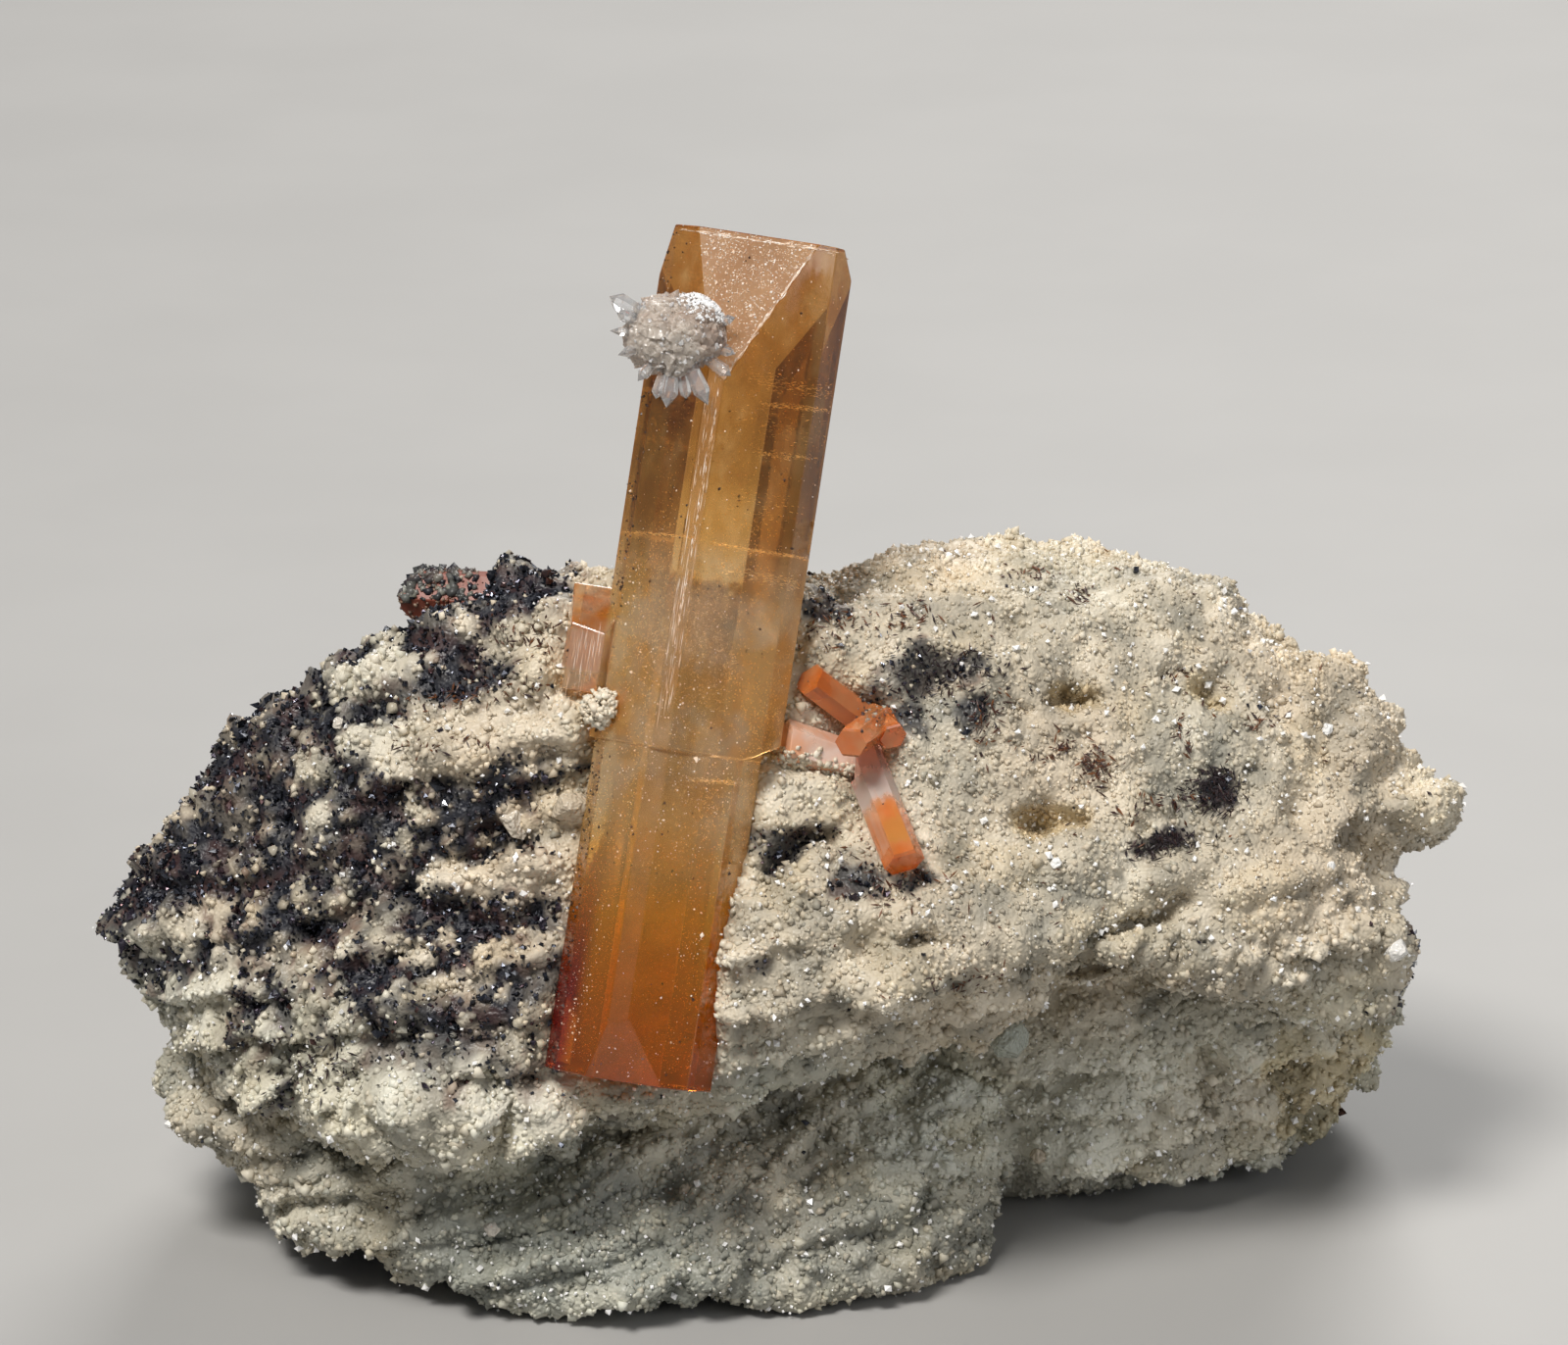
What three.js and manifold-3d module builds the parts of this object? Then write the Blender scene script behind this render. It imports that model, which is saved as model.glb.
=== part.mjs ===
// Topaz prism on a loose piece of rhyolite, with smaller topaz crystals and a quartz druse.
// Millimetres, +Z up. A viewer in front looks along +Y, from a little above.
import * as THREE from 'three';
import { LoftGeometry } from 'three/addons/geometries/LoftGeometry.js';
import { ImprovedNoise } from 'three/addons/math/ImprovedNoise.js';
import { mergeVertices } from 'three/addons/utils/BufferGeometryUtils.js';
import Module from 'manifold-3d';

const wasm = await Module();
wasm.setup();

// Driving dimensions
const matrixWidth = 43.5;
const viewTilt = THREE.MathUtils.degToRad(20);
const viewDistance = 215;
const prismHalfWidth = 3.05;
const prismHalfDepth = 2.4;
const druseRadius = 2.1;
const gap = 0.3;

// Pixels of the picture that the outlines are read from
const matrixWidthPixels = 1347;
const pictureCentre = new THREE.Vector2(800, 686);
const footLine = 1322;
const millimetresPerPixel = matrixWidth / matrixWidthPixels;

// The viewer's own axes, and the eye, with the front foot of the rock at y = 0 and z = 0
const viewRight = new THREE.Vector3(1, 0, 0);
const viewUp = new THREE.Vector3(0, Math.sin(viewTilt), Math.cos(viewTilt));
const viewAhead = new THREE.Vector3(0, Math.cos(viewTilt), -Math.sin(viewTilt));
const eye = viewUp
  .clone()
  .multiplyScalar((footLine - pictureCentre.y) * millimetresPerPixel)
  .addScaledVector(viewAhead, -viewDistance);

function sightLine(px, py) {
  const scale = millimetresPerPixel / viewDistance;
  return viewAhead
    .clone()
    .addScaledVector(viewRight, (px - pictureCentre.x) * scale)
    .addScaledVector(viewUp, (pictureCentre.y - py) * scale);
}

// The point seen at a pixel that lies a given distance behind the front foot
function seenAt([px, py, behind]) {
  const line = sightLine(px, py);
  return eye.clone().addScaledVector(line, (behind - eye.y) / line.y);
}

// Joining and cutting
function solidOf(geometry) {
  geometry.deleteAttribute('normal');
  geometry.deleteAttribute('uv');
  const merged = mergeVertices(geometry, 1e-3);
  const corners = merged.index.array;
  const triangles = [];
  for (let i = 0; i < corners.length; i += 3) {
    const [a, b, c] = corners.subarray(i, i + 3);
    if (a !== b && b !== c && c !== a) {
      triangles.push(a, b, c);
    }
  }
  const triVerts = Uint32Array.from(triangles);
  const vertProperties = Float32Array.from(merged.attributes.position.array);
  return new wasm.Manifold(new wasm.Mesh({ numProp: 3, vertProperties, triVerts }));
}

function geometryOf(solid) {
  const mesh = solid.getMesh();
  const geometry = new THREE.BufferGeometry();
  geometry.setAttribute('position', new THREE.BufferAttribute(mesh.vertProperties, 3));
  geometry.setIndex(new THREE.BufferAttribute(mesh.triVerts, 1));
  return geometry;
}

function largestPiece(solid) {
  return solid.decompose().reduce((best, piece) => (piece.volume() > best.volume() ? piece : best));
}

// Keeps what lies on the inner side of a plane through a point
function trimmed(solid, point, outward) {
  const reach = 120;
  const block = new THREE.BoxGeometry(reach, reach, reach);
  block.translate(0, 0, reach / 2);
  const turn = new THREE.Quaternion().setFromUnitVectors(new THREE.Vector3(0, 0, 1), outward);
  block.applyQuaternion(turn);
  block.translate(point.x, point.y, point.z);
  return solid.subtract(solidOf(block));
}

// A plane parallel to local X through two points given as [y, z], facing the given side
function slopedAlongX([y0, z0], [y1, z1], side) {
  const along = new THREE.Vector3(0, y1 - y0, z1 - z0);
  const outward = along.cross(new THREE.Vector3(1, 0, 0)).normalize();
  outward.multiplyScalar(Math.sign(outward.y * side) || 1);
  return { point: new THREE.Vector3(0, y0, z0), outward };
}

// A straight prism of a section given as [x, y] points, grown outward by a clearance.
// A corner moves further out than the faces beside it.
const cornerReach = 1.15;

function prism(section, bottom, top, clearance) {
  const centre = new THREE.Vector2();
  section.forEach(([x, y]) => centre.add(new THREE.Vector2(x, y).divideScalar(section.length)));
  const corners = section.map(([x, y]) => {
    const corner = new THREE.Vector2(x, y);
    const away = corner.clone().sub(centre).normalize();
    return corner.addScaledVector(away, clearance * cornerReach);
  });
  const height = top - bottom + 2 * clearance;
  const geometry = new THREE.ExtrudeGeometry(new THREE.Shape(corners), {
    depth: height,
    bevelEnabled: false,
    steps: 1,
  });
  geometry.translate(0, 0, bottom - clearance);
  return solidOf(geometry);
}

// Turns local axes so that Z runs from foot to head and X stays on the viewer's right
function standing(solid, foot, head) {
  const zAxis = head.clone().sub(foot).normalize();
  const xAxis = viewRight.clone().addScaledVector(zAxis, -viewRight.dot(zAxis)).normalize();
  const yAxis = zAxis.clone().cross(xAxis);
  const place = new THREE.Matrix4().makeBasis(xAxis, yAxis, zAxis).setPosition(foot);
  return solid.transform(place.elements);
}

// The tall topaz prism
const tallFoot = seenAt([646, 1102, -4.2]);
const tallHead = seenAt([777, 243, 5.0]);
const tallLength = tallHead.distanceTo(tallFoot);

const upperSection = [
  [-prismHalfWidth, 0.1],
  [-2.65, -0.6],
  [-1.0, -2.3],
  [-0.45, -prismHalfDepth],
  [2.45, -0.95],
  [prismHalfWidth, 0.1],
  [2.5, 1.1],
  [0.3, prismHalfDepth],
  [-2.6, 1.1],
];
const lowerSection = [
  [-2.85, 0.1],
  [-2.5, -0.65],
  [-1.05, -2.15],
  [-0.4, -2.2],
  [1.75, -1.3],
  [2.5, 0.1],
  [2.0, 1.2],
  [0.2, 2.2],
  [-2.3, 1.1],
];
const stubSection = [
  [-4.25, 0.4],
  [-4.1, -0.75],
  [-3.0, -0.95],
  [-2.4, 0.2],
  [-2.9, 1.2],
  [-3.9, 1.2],
];
const stubFrontDepth = 0.95;
const stubRearDepth = 0.4;
const stubHeights = { bottom: 12, shoulder: 13.9, top: 15.4 };

// Sloping faces: how far a face's edge stands from the axis, and how far the face drops or rises
const frontDome = { crest: 1.25, drop: 4.8 };
const rearDome = { crest: 0.6, drop: 4 };
const chiselFoot = { crest: 1.65, root: 2.2, rise: 2 };
const headBevels = [
  { across: 2.68, facing: new THREE.Vector3(0.97, 0, 0.38).normalize() },
  { across: -2.76, facing: new THREE.Vector3(-0.98, 0, 0.17).normalize() },
];
const step = { across: 2.5, height: 10.6, lift: 0.3, facing: new THREE.Vector3(0.45, 0, -0.9).normalize() };
const lowerTop = 14.3;

function tallTopaz(clearance) {
  const top = tallLength + clearance;
  const depth = prismHalfDepth + clearance;
  const stepFoot = step.height + step.lift - clearance;
  const upperCuts = [
    slopedAlongX([-frontDome.crest - clearance, top], [-depth, top - frontDome.drop], -1),
    slopedAlongX([rearDome.crest + clearance, top], [depth, top - rearDome.drop], 1),
    { point: new THREE.Vector3(step.across, 0, stepFoot), outward: step.facing },
    ...headBevels.map(({ across, facing }) => {
      const clearAcross = across + Math.sign(across) * clearance;
      return { point: new THREE.Vector3(clearAcross, 0, top), outward: facing };
    }),
  ];
  const upper = upperCuts.reduce(
    (solid, { point, outward }) => trimmed(solid, point, outward),
    prism(upperSection, step.height, tallLength, clearance),
  );
  const footFace = slopedAlongX(
    [-chiselFoot.crest - clearance, -clearance],
    [-chiselFoot.root - clearance, chiselFoot.rise],
    -1,
  );
  const lower = trimmed(prism(lowerSection, 0, lowerTop, clearance), footFace.point, footFace.outward);
  const stubFace = slopedAlongX(
    [-stubFrontDepth - clearance, stubHeights.shoulder],
    [stubRearDepth, stubHeights.top + clearance],
    -1,
  );
  const stubPrism = prism(stubSection, stubHeights.bottom, stubHeights.top, clearance);
  const stub = trimmed(stubPrism, stubFace.point, stubFace.outward);
  return standing(upper.add(lower).add(stub), tallFoot, tallHead);
}

// A six-sided crystal between two points, with a roof on its head.
// The roof's ridge and drop are shares of the crystal's depth, and the turn is in degrees.
const steepRoof = { ridge: 0.12, drop: 0.3, turn: 12 };
const flatRoof = { ridge: 0.36, drop: 0.1, turn: 0 };

function sixSided({ foot, head, width, depth, roof }, clearance) {
  const top = head.distanceTo(foot) + clearance;
  const corners = [0, 1, 2, 3, 4, 5].map((i) => {
    const turn = THREE.MathUtils.degToRad(60 * i + roof.turn);
    return [(Math.cos(turn) * width) / 2, (Math.sin(turn) * depth) / 2];
  });
  const body = [-1, 1].reduce(
    (solid, side) => {
      const ridge = [side * (roof.ridge * depth + clearance), top];
      const eaves = [side * (depth / 2 + clearance), top - roof.drop * depth];
      const { point, outward } = slopedAlongX(ridge, eaves, side);
      return trimmed(solid, point, outward);
    },
    prism(corners, 0, top - clearance, clearance),
  );
  return standing(body, foot, head);
}

// The rock: rounded lumps between a rim seen from the front and a pole on each side
const noise = new ImprovedNoise();
const bosses = [
  { across: 4.6, tall: 3.4, height: 0.75, start: new THREE.Vector2(3.1, 0) },
  { across: 2.1, tall: 1.5, height: 0.35, start: new THREE.Vector2(0, 7.7) },
];

function roughness(p) {
  return bosses.reduce((sum, { across, tall, height, start }) => {
    const wave = noise.noise(p.x / across + start.x, p.y / across + start.y, p.z / tall);
    return sum + height * wave;
  }, 0);
}

// Averages a closed ring of points over a few neighbours on each side
function evened(ring, reach) {
  return ring.map((_, i) => {
    const mean = new THREE.Vector3();
    for (let j = i - reach; j <= i + reach; j += 1) {
      mean.addScaledVector(ring[(j + ring.length) % ring.length], 1 / (2 * reach + 1));
    }
    return mean;
  });
}

// How full a lump's sides and poles are, how rough its rim is, and how soon the rim evens out
const sideFullness = 0.7;
const poleFullness = 0.9;
const rimRuggedness = 0.35;
const eveningRate = 1.6;
const eveningReach = 5;

function lump({ rim, front, back, columns, rings }) {
  const loop = new THREE.CatmullRomCurve3(rim.map(seenAt), true, 'centripetal');
  const edge = loop.getSpacedPoints(columns).slice(0, columns);
  const evenEdge = evened(evened(edge, eveningReach), eveningReach);
  const centre = new THREE.Vector3();
  edge.forEach((p) => centre.addScaledVector(p, 1 / columns));
  const poles = [seenAt(front), seenAt(back)].map((p) => p.sub(centre));
  const sections = [];
  for (let i = -rings; i <= rings; i += 1) {
    const pole = i < 0 ? poles[0] : poles[1];
    const angle = (Math.abs(i) / rings) * (Math.PI / 2);
    const spread = Math.cos(angle) ** sideFullness;
    const bulge = Math.sin(angle) ** poleFullness;
    const ruggedness = THREE.MathUtils.lerp(rimRuggedness, 1, bulge);
    const evenness = Math.min(1, (eveningRate * Math.abs(i)) / rings);
    sections.push(
      edge.map((p, j) => {
        const out = p.clone().lerp(evenEdge[j], evenness).sub(centre);
        const place = out.multiplyScalar(spread).addScaledVector(pole, bulge);
        const along = place.clone().normalize();
        place.add(centre);
        return place.addScaledVector(along, ruggedness * roughness(place));
      }),
    );
  }
  return solidOf(new THREE.BufferGeometry().copy(new LoftGeometry(sections)));
}

// Rim points are [pixel across, pixel down, millimetres behind the front foot], left tip first
const slab = {
  rim: [
    [131, 947, 5.5],
    [150, 885, 6],
    [200, 828, 6.5],
    [245, 750, 6.5],
    [334, 700, 6.5],
    [381, 677, 6],
    [441, 654, 6],
    [506, 600, 5.5],
    [575, 596, 5],
    [700, 612, 5],
    [830, 612, 6],
    [940, 577, 7.5],
    [1055, 568, 8.5],
    [1130, 575, 8.5],
    [1225, 600, 8.5],
    [1300, 650, 8.5],
    [1378, 682, 8.5],
    [1425, 740, 8],
    [1436, 792, 7.5],
    [1478, 823, 7],
    [1428, 848, 6.5],
    [1412, 915, 5],
    [1436, 955, 4.5],
    [1400, 1015, 4],
    [1250, 1000, 2],
    [1150, 957, 0.8],
    [1080, 962, 0.2],
    [1045, 1012, -0.6],
    [930, 1040, -1.3],
    [780, 1100, -1.9],
    [640, 1130, -1.9],
    [560, 1150, -1.8],
    [480, 1152, -1.5],
    [420, 1180, -1.2],
    [340, 1150, -0.4],
    [270, 1110, 1],
    [200, 1045, 3.5],
    [158, 995, 5],
  ],
  front: [740, 850, -1.1],
  back: [800, 866, 17],
  columns: 96,
  rings: 9,
};
const frontFoot = {
  rim: [
    [172, 1100, 5.5],
    [215, 1030, 7],
    [400, 960, 10],
    [700, 900, 12],
    [950, 950, 11],
    [1040, 1110, 7],
    [995, 1230, 3],
    [1010, 1278, 2],
    [960, 1308, 1],
    [870, 1320, 0.3],
    [760, 1296, 0.8],
    [640, 1302, 0.5],
    [500, 1322, 0],
    [440, 1290, 0.8],
    [380, 1247, 2],
    [300, 1243, 3],
    [262, 1200, 4],
    [190, 1125, 5],
  ],
  front: [620, 1180, 0],
  back: [620, 1070, 17],
  columns: 60,
  rings: 6,
};
const rearFoot = {
  rim: [
    [985, 1228, 8],
    [880, 1190, 9],
    [740, 1080, 11],
    [800, 960, 10],
    [980, 920, 7],
    [1120, 930, 6],
    [1300, 950, 8],
    [1400, 1000, 11],
    [1385, 1040, 12.5],
    [1388, 1075, 13],
    [1350, 1125, 13],
    [1300, 1150, 12],
    [1235, 1180, 11],
    [1165, 1200, 10],
    [1100, 1220, 9],
  ],
  front: [1150, 1080, 4.5],
  back: [1080, 960, 19.5],
  columns: 60,
  rings: 6,
};

const lumps = [slab, frontFoot, rearFoot].map(lump);
const underside = 0.25;
const floorPoint = new THREE.Vector3(0, 0, underside);
const down = new THREE.Vector3(0, 0, -1);
const wholeRock = trimmed(lumps[0].add(lumps[1]).add(lumps[2]), floorPoint, down);

// Where the rock's front, or another solid's, is seen at a pixel
function frontOf(solid, px, py, raised) {
  const mesh = new THREE.Mesh(geometryOf(solid));
  mesh.geometry.computeVertexNormals();
  const line = sightLine(px, py).normalize();
  const hit = new THREE.Raycaster(eye, line).intersectObject(mesh)[0];
  return hit.point.clone().addScaledVector(line, -raised);
}

// The smaller topaz crystals, each from a buried foot to a head seen at a pixel
const backCrystal = {
  foot: seenAt([662, 620, 6.6]),
  head: seenAt([415, 606, 8]),
  width: 2.1,
  depth: 1.9,
  roof: steepRoof,
};
const plateCrystal = {
  foot: frontOf(wholeRock, 864, 778, -0.9),
  head: frontOf(wholeRock, 797, 755, -0.1),
  width: 1.5,
  depth: 1.5,
  roof: flatRoof,
};
const sprayCrystals = [
  { foot: [886, 737, -0.8], head: [826, 692, 0.6], width: 1.15 },
  { foot: [900, 734, -0.3], head: [868, 758, 2.2], width: 1.05 },
  { foot: [874, 756, -0.7], head: [923, 881, 1.5], width: 1.35 },
  { foot: [884, 728, -0.6], head: [912, 752, 0.7], width: 0.95 },
].map(({ foot, head, width }) => ({
  foot: frontOf(wholeRock, ...foot),
  head: frontOf(wholeRock, ...head),
  width,
  depth: width,
  roof: flatRoof,
}));

const backTopaz = (clearance) => sixSided(backCrystal, clearance);
const plateTopaz = (clearance) => sixSided(plateCrystal, clearance);
const sprayTopaz = (clearance) =>
  sprayCrystals
    .map((crystal) => sixSided(crystal, clearance))
    .reduce((joined, crystal) => joined.add(crystal));

// The quartz druse: pointed crystals out of one core, spread evenly over a ball
const druseCentre = frontOf(tallTopaz(0), 691, 348, 0.9);
const drusePoints = 56;
const coreRadius = 0.78 * druseRadius;
const pointLength = { mean: 0.93 * druseRadius, spread: 0.07 * druseRadius };
const pointRadius = { mean: 0.24 * druseRadius, spread: 0.06 * druseRadius };
const pointTaper = 0.9;

function quartzPoint(direction, length, radius) {
  const outline = [
    new THREE.Vector2(0, 0),
    new THREE.Vector2(radius, 0),
    new THREE.Vector2(radius, length - radius * pointTaper),
    new THREE.Vector2(0, length),
  ];
  const point = new THREE.LatheGeometry(outline, 6);
  const turn = new THREE.Quaternion().setFromUnitVectors(new THREE.Vector3(0, 1, 0), direction);
  point.applyQuaternion(turn);
  return solidOf(point);
}

function druse() {
  let joined = solidOf(new THREE.IcosahedronGeometry(coreRadius, 1));
  const goldenTurn = Math.PI * (3 - Math.sqrt(5));
  for (let i = 0; i < drusePoints; i += 1) {
    const height = 1 - (2 * (i + 0.5)) / drusePoints;
    const ring = Math.sqrt(1 - height * height);
    const around = Math.PI / 2 - i * goldenTurn;
    const direction = new THREE.Vector3().setFromCylindricalCoords(ring, around, height);
    const length = pointLength.mean + pointLength.spread * Math.sin(5 * i);
    const radius = pointRadius.mean + pointRadius.spread * Math.sin(3 * i + 1);
    joined = joined.add(quartzPoint(direction, length, radius));
  }
  const place = new THREE.Matrix4().makeTranslation(druseCentre);
  return joined.transform(place.elements);
}

// The separate pieces, each clear of its neighbours by the gap
const topazMain = tallTopaz(0);
const topazPlate = largestPiece(plateTopaz(0).subtract(tallTopaz(gap)));
const topazSpray = largestPiece(sprayTopaz(0).subtract(tallTopaz(gap)).subtract(plateTopaz(gap)));
const quartzDruse = largestPiece(druse().subtract(tallTopaz(gap)));
const sockets = [tallTopaz(gap), backTopaz(gap), plateTopaz(gap), sprayTopaz(gap)];
const matrix = largestPiece(sockets.reduce((rock, socket) => rock.subtract(socket), wholeRock));

const pieces = [
  { name: 'matrix', solid: matrix, color: 0xc9c3b2, roughness: 0.85, metalness: 0 },
  { name: 'topaz_main', solid: topazMain, color: 0xb8803c, roughness: 0.08, metalness: 0 },
  { name: 'topaz_back', solid: backTopaz(0), color: 0x8a4a3c, roughness: 0.35, metalness: 0 },
  { name: 'topaz_plate', solid: topazPlate, color: 0xd79a7c, roughness: 0.3, metalness: 0 },
  { name: 'topaz_spray', solid: topazSpray, color: 0xd8743a, roughness: 0.15, metalness: 0 },
  { name: 'quartz_druse', solid: quartzDruse, color: 0xd9d8d6, roughness: 0.1, metalness: 0 },
];

const specimen = new THREE.Group();
pieces.forEach(({ name, solid, ...finish }) => {
  const mesh = new THREE.Mesh(geometryOf(solid), new THREE.MeshStandardMaterial(finish));
  mesh.name = name;
  specimen.add(mesh);
});

// The origin is under the middle of the specimen, on the surface it stands on
const box = new THREE.Box3().setFromObject(specimen);
const middle = box.getCenter(new THREE.Vector3());
specimen.position.set(-middle.x, -middle.y, -box.min.z);

export default specimen;
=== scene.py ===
import itertools
import math

import bmesh
import bpy
import numpy as np
from mathutils import Matrix, Vector
from mathutils.bvhtree import BVHTree


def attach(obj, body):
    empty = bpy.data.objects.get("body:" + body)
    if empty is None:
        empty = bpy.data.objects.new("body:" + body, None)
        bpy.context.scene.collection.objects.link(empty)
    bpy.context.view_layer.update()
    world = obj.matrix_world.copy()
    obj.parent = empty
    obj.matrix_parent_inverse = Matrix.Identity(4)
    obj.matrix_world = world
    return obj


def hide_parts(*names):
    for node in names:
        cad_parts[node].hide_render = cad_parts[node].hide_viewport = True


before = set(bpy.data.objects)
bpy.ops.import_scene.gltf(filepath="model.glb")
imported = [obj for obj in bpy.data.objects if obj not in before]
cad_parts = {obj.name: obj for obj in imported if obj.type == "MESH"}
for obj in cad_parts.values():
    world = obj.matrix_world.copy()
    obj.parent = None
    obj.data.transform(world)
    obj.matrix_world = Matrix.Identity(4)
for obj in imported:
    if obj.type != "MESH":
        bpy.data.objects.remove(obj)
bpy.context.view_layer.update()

scene = bpy.context.scene
mm = 0.001
draw = np.random.default_rng(41)  # every random draw comes from here, in order

# Where the viewer stands
viewer = {
    "picture": (1600, 1372),  # pixels
    "pixel": 0.0435 / 1347,  # metres to a pixel at the rock's front foot
    "tilt": math.radians(20),
    "distance": 0.215,
    "footLine": 1322,  # pixel row of the front foot
    "frontFoot": (0.0000435, -0.0071945, -0.00025),  # that foot's mark in this frame
    "sensor": 36.0,  # millimetres
    "nearest": 0.01,  # metres from the lens
}
right = np.array((1.0, 0.0, 0.0))
up = np.array((0.0, math.sin(viewer["tilt"]), math.cos(viewer["tilt"])))
ahead = np.array((0.0, math.cos(viewer["tilt"]), -math.sin(viewer["tilt"])))
centrePixel = np.array(viewer["picture"]) / 2
footRise = (viewer["footLine"] - centrePixel[1]) * viewer["pixel"]
eye = np.array(viewer["frontFoot"]) + up * footRise - ahead * viewer["distance"]


def sightLine(px, py):
    step = viewer["pixel"] / viewer["distance"]
    return ahead + right * (px - centrePixel[0]) * step + up * (centrePixel[1] - py) * step


def seenAt(px, py, behind):  # the point under a pixel, so far behind the front foot
    line = sightLine(px, py)
    return eye + line * ((viewer["frontFoot"][1] + behind - eye[1]) / line[1])


def pixelsOf(points):
    away = points - eye
    scale = viewer["distance"] / viewer["pixel"] / (away @ ahead)
    return np.stack([centrePixel[0] + (away @ right) * scale, centrePixel[1] - (away @ up) * scale], 1)


def treeOf(mesh):
    return BVHTree.FromPolygons([v.co for v in mesh.vertices], [p.vertices for p in mesh.polygons])


def frontOf(tree, px, py, raised=0.0):  # where a surface is seen under a pixel, and the way it faces
    line = Vector(sightLine(px, py)).normalized()
    place, way, _, _ = tree.ray_cast(Vector(eye), line)
    return np.array(place - line * raised), np.array(way)


def frontsOf(tree, spots, raised=0.0):  # the same for many pixels, and the numbers of those that hit
    places, ways, hit = [], [], []
    for i, (px, py) in enumerate(spots):
        line = Vector(sightLine(px, py)).normalized()
        place, way, _, _ = tree.ray_cast(Vector(eye), line)
        if place is not None:
            places.append(np.array(place - line * raised))
            ways.append(np.array(way))
            hit.append(i)
    return np.array(places), np.array(ways), hit


def unit(vectors):
    return vectors / np.linalg.norm(vectors, axis=-1, keepdims=True)


def smoothStep(low, high, value):
    share = np.clip((value - low) / (high - low), 0, 1)
    return share * share * (3 - 2 * share)


# Noise on a lattice, for shapes and scatter
latticeValues = np.random.default_rng(5).uniform(-1, 1, 4096)
latticePrimes = (73856093, 19349663, 83492791)


def latticeKey(cells):
    mixed = cells[:, 0] * latticePrimes[0] ^ cells[:, 1] * latticePrimes[1] ^ cells[:, 2] * latticePrimes[2]
    return mixed & (len(latticeValues) - 1)


def softNoise(points):
    base = np.floor(points).astype(np.int64)
    part = points - base
    fade = part * part * part * (part * (part * 6 - 15) + 10)
    total = np.zeros(len(points))
    for corner in itertools.product((0, 1), repeat=3):
        weight = np.prod(np.where(corner, fade, 1 - fade), axis=1)
        total += weight * latticeValues[latticeKey(base + np.array(corner))]
    return total


def layeredNoise(points, layers):
    return sum(softNoise(points * 2**k + 17.3 * k) / 2**k for k in range(layers))


def nearestSeed(points):  # distance to the nearest scattered seed, and that seed's own number
    base = np.floor(points).astype(np.int64)
    best = np.full(len(points), 9.0)
    number = np.zeros(len(points))
    for step in itertools.product((-1, 0, 1), repeat=3):
        cell = base + np.array(step)
        keys = [latticeKey(cell + shift) for shift in (0, 101, 211)]
        seed = cell + 0.5 + 0.45 * np.stack([latticeValues[k] for k in keys], 1)
        away = np.linalg.norm(points - seed, axis=1)
        closer = away < best
        best[closer] = away[closer]
        number[closer] = latticeValues[keys[0]][closer]
    return best, number


def seedDomes(points, reach):  # rounded bumps round scattered seeds, each of its own height up to 1
    away, number = nearestSeed(points)
    return (0.6 + 0.4 * number) * np.clip(1 - (away / reach) ** 2, 0, 1)


# Meshes from arrays
def meshFrom(name, points, faces, fields=None):
    mesh = bpy.data.meshes.new(name)
    faces = np.asarray(faces, np.int32)
    mesh.vertices.add(len(points))
    mesh.vertices.foreach_set("co", np.asarray(points, np.float32).ravel())
    mesh.loops.add(faces.size)
    mesh.loops.foreach_set("vertex_index", faces.ravel())
    mesh.polygons.add(len(faces))
    mesh.polygons.foreach_set("loop_start", np.arange(0, faces.size, faces.shape[1], dtype=np.int32))
    mesh.update(calc_edges=True)
    mesh.shade_flat()
    addFields(mesh, fields or {})
    return mesh


def addFields(mesh, fields):
    for name, values in fields.items():
        layer = mesh.attributes.new(name, "FLOAT", "POINT")
        layer.data.foreach_set("value", np.asarray(values, np.float32))


def readMesh(mesh):
    points = np.empty(len(mesh.vertices) * 3, np.float32)
    mesh.vertices.foreach_get("co", points)
    normals = np.empty(len(mesh.vertices) * 3, np.float32)
    mesh.vertex_normals.foreach_get("vector", normals)
    return points.reshape(-1, 3).astype(float), normals.reshape(-1, 3).astype(float)


def addPiece(name, mesh, material, replaced=None):
    piece = bpy.data.objects.new(name, mesh)
    scene.collection.objects.link(piece)
    mesh.materials.clear()
    mesh.materials.append(material)
    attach(piece, "root")
    if replaced:
        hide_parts(replaced)
    return piece


def randomTurns(count):
    w, x, y, z = unit(draw.normal(size=(count, 4))).T
    return np.stack([
        np.stack([1 - 2 * (y * y + z * z), 2 * (x * y - z * w), 2 * (x * z + y * w)], 1),
        np.stack([2 * (x * y + z * w), 1 - 2 * (x * x + z * z), 2 * (y * z - x * w)], 1),
        np.stack([2 * (x * z - y * w), 2 * (y * z + x * w), 1 - 2 * (x * x + y * y)], 1),
    ], 1)


def standingTurns(ways, lean):  # turns whose third column runs along ways, leaning at random
    zAxis = unit(ways + draw.normal(size=ways.shape) * lean)
    side = unit(np.cross(zAxis, draw.normal(size=ways.shape)))
    return np.stack([side, np.cross(zAxis, side), zAxis], 2)


def placeCopies(shapes, faces, kinds, places, turns, sizes):
    local = shapes[kinds] * sizes[:, None, :]
    points = places[:, None, :] + np.einsum("nij,nkj->nki", turns, local)
    start = np.arange(len(places)) * shapes.shape[1]
    corners = np.asarray(faces)[None] + start[:, None, None]
    return points.reshape(-1, 3), corners.reshape(-1, corners.shape[2])


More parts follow.
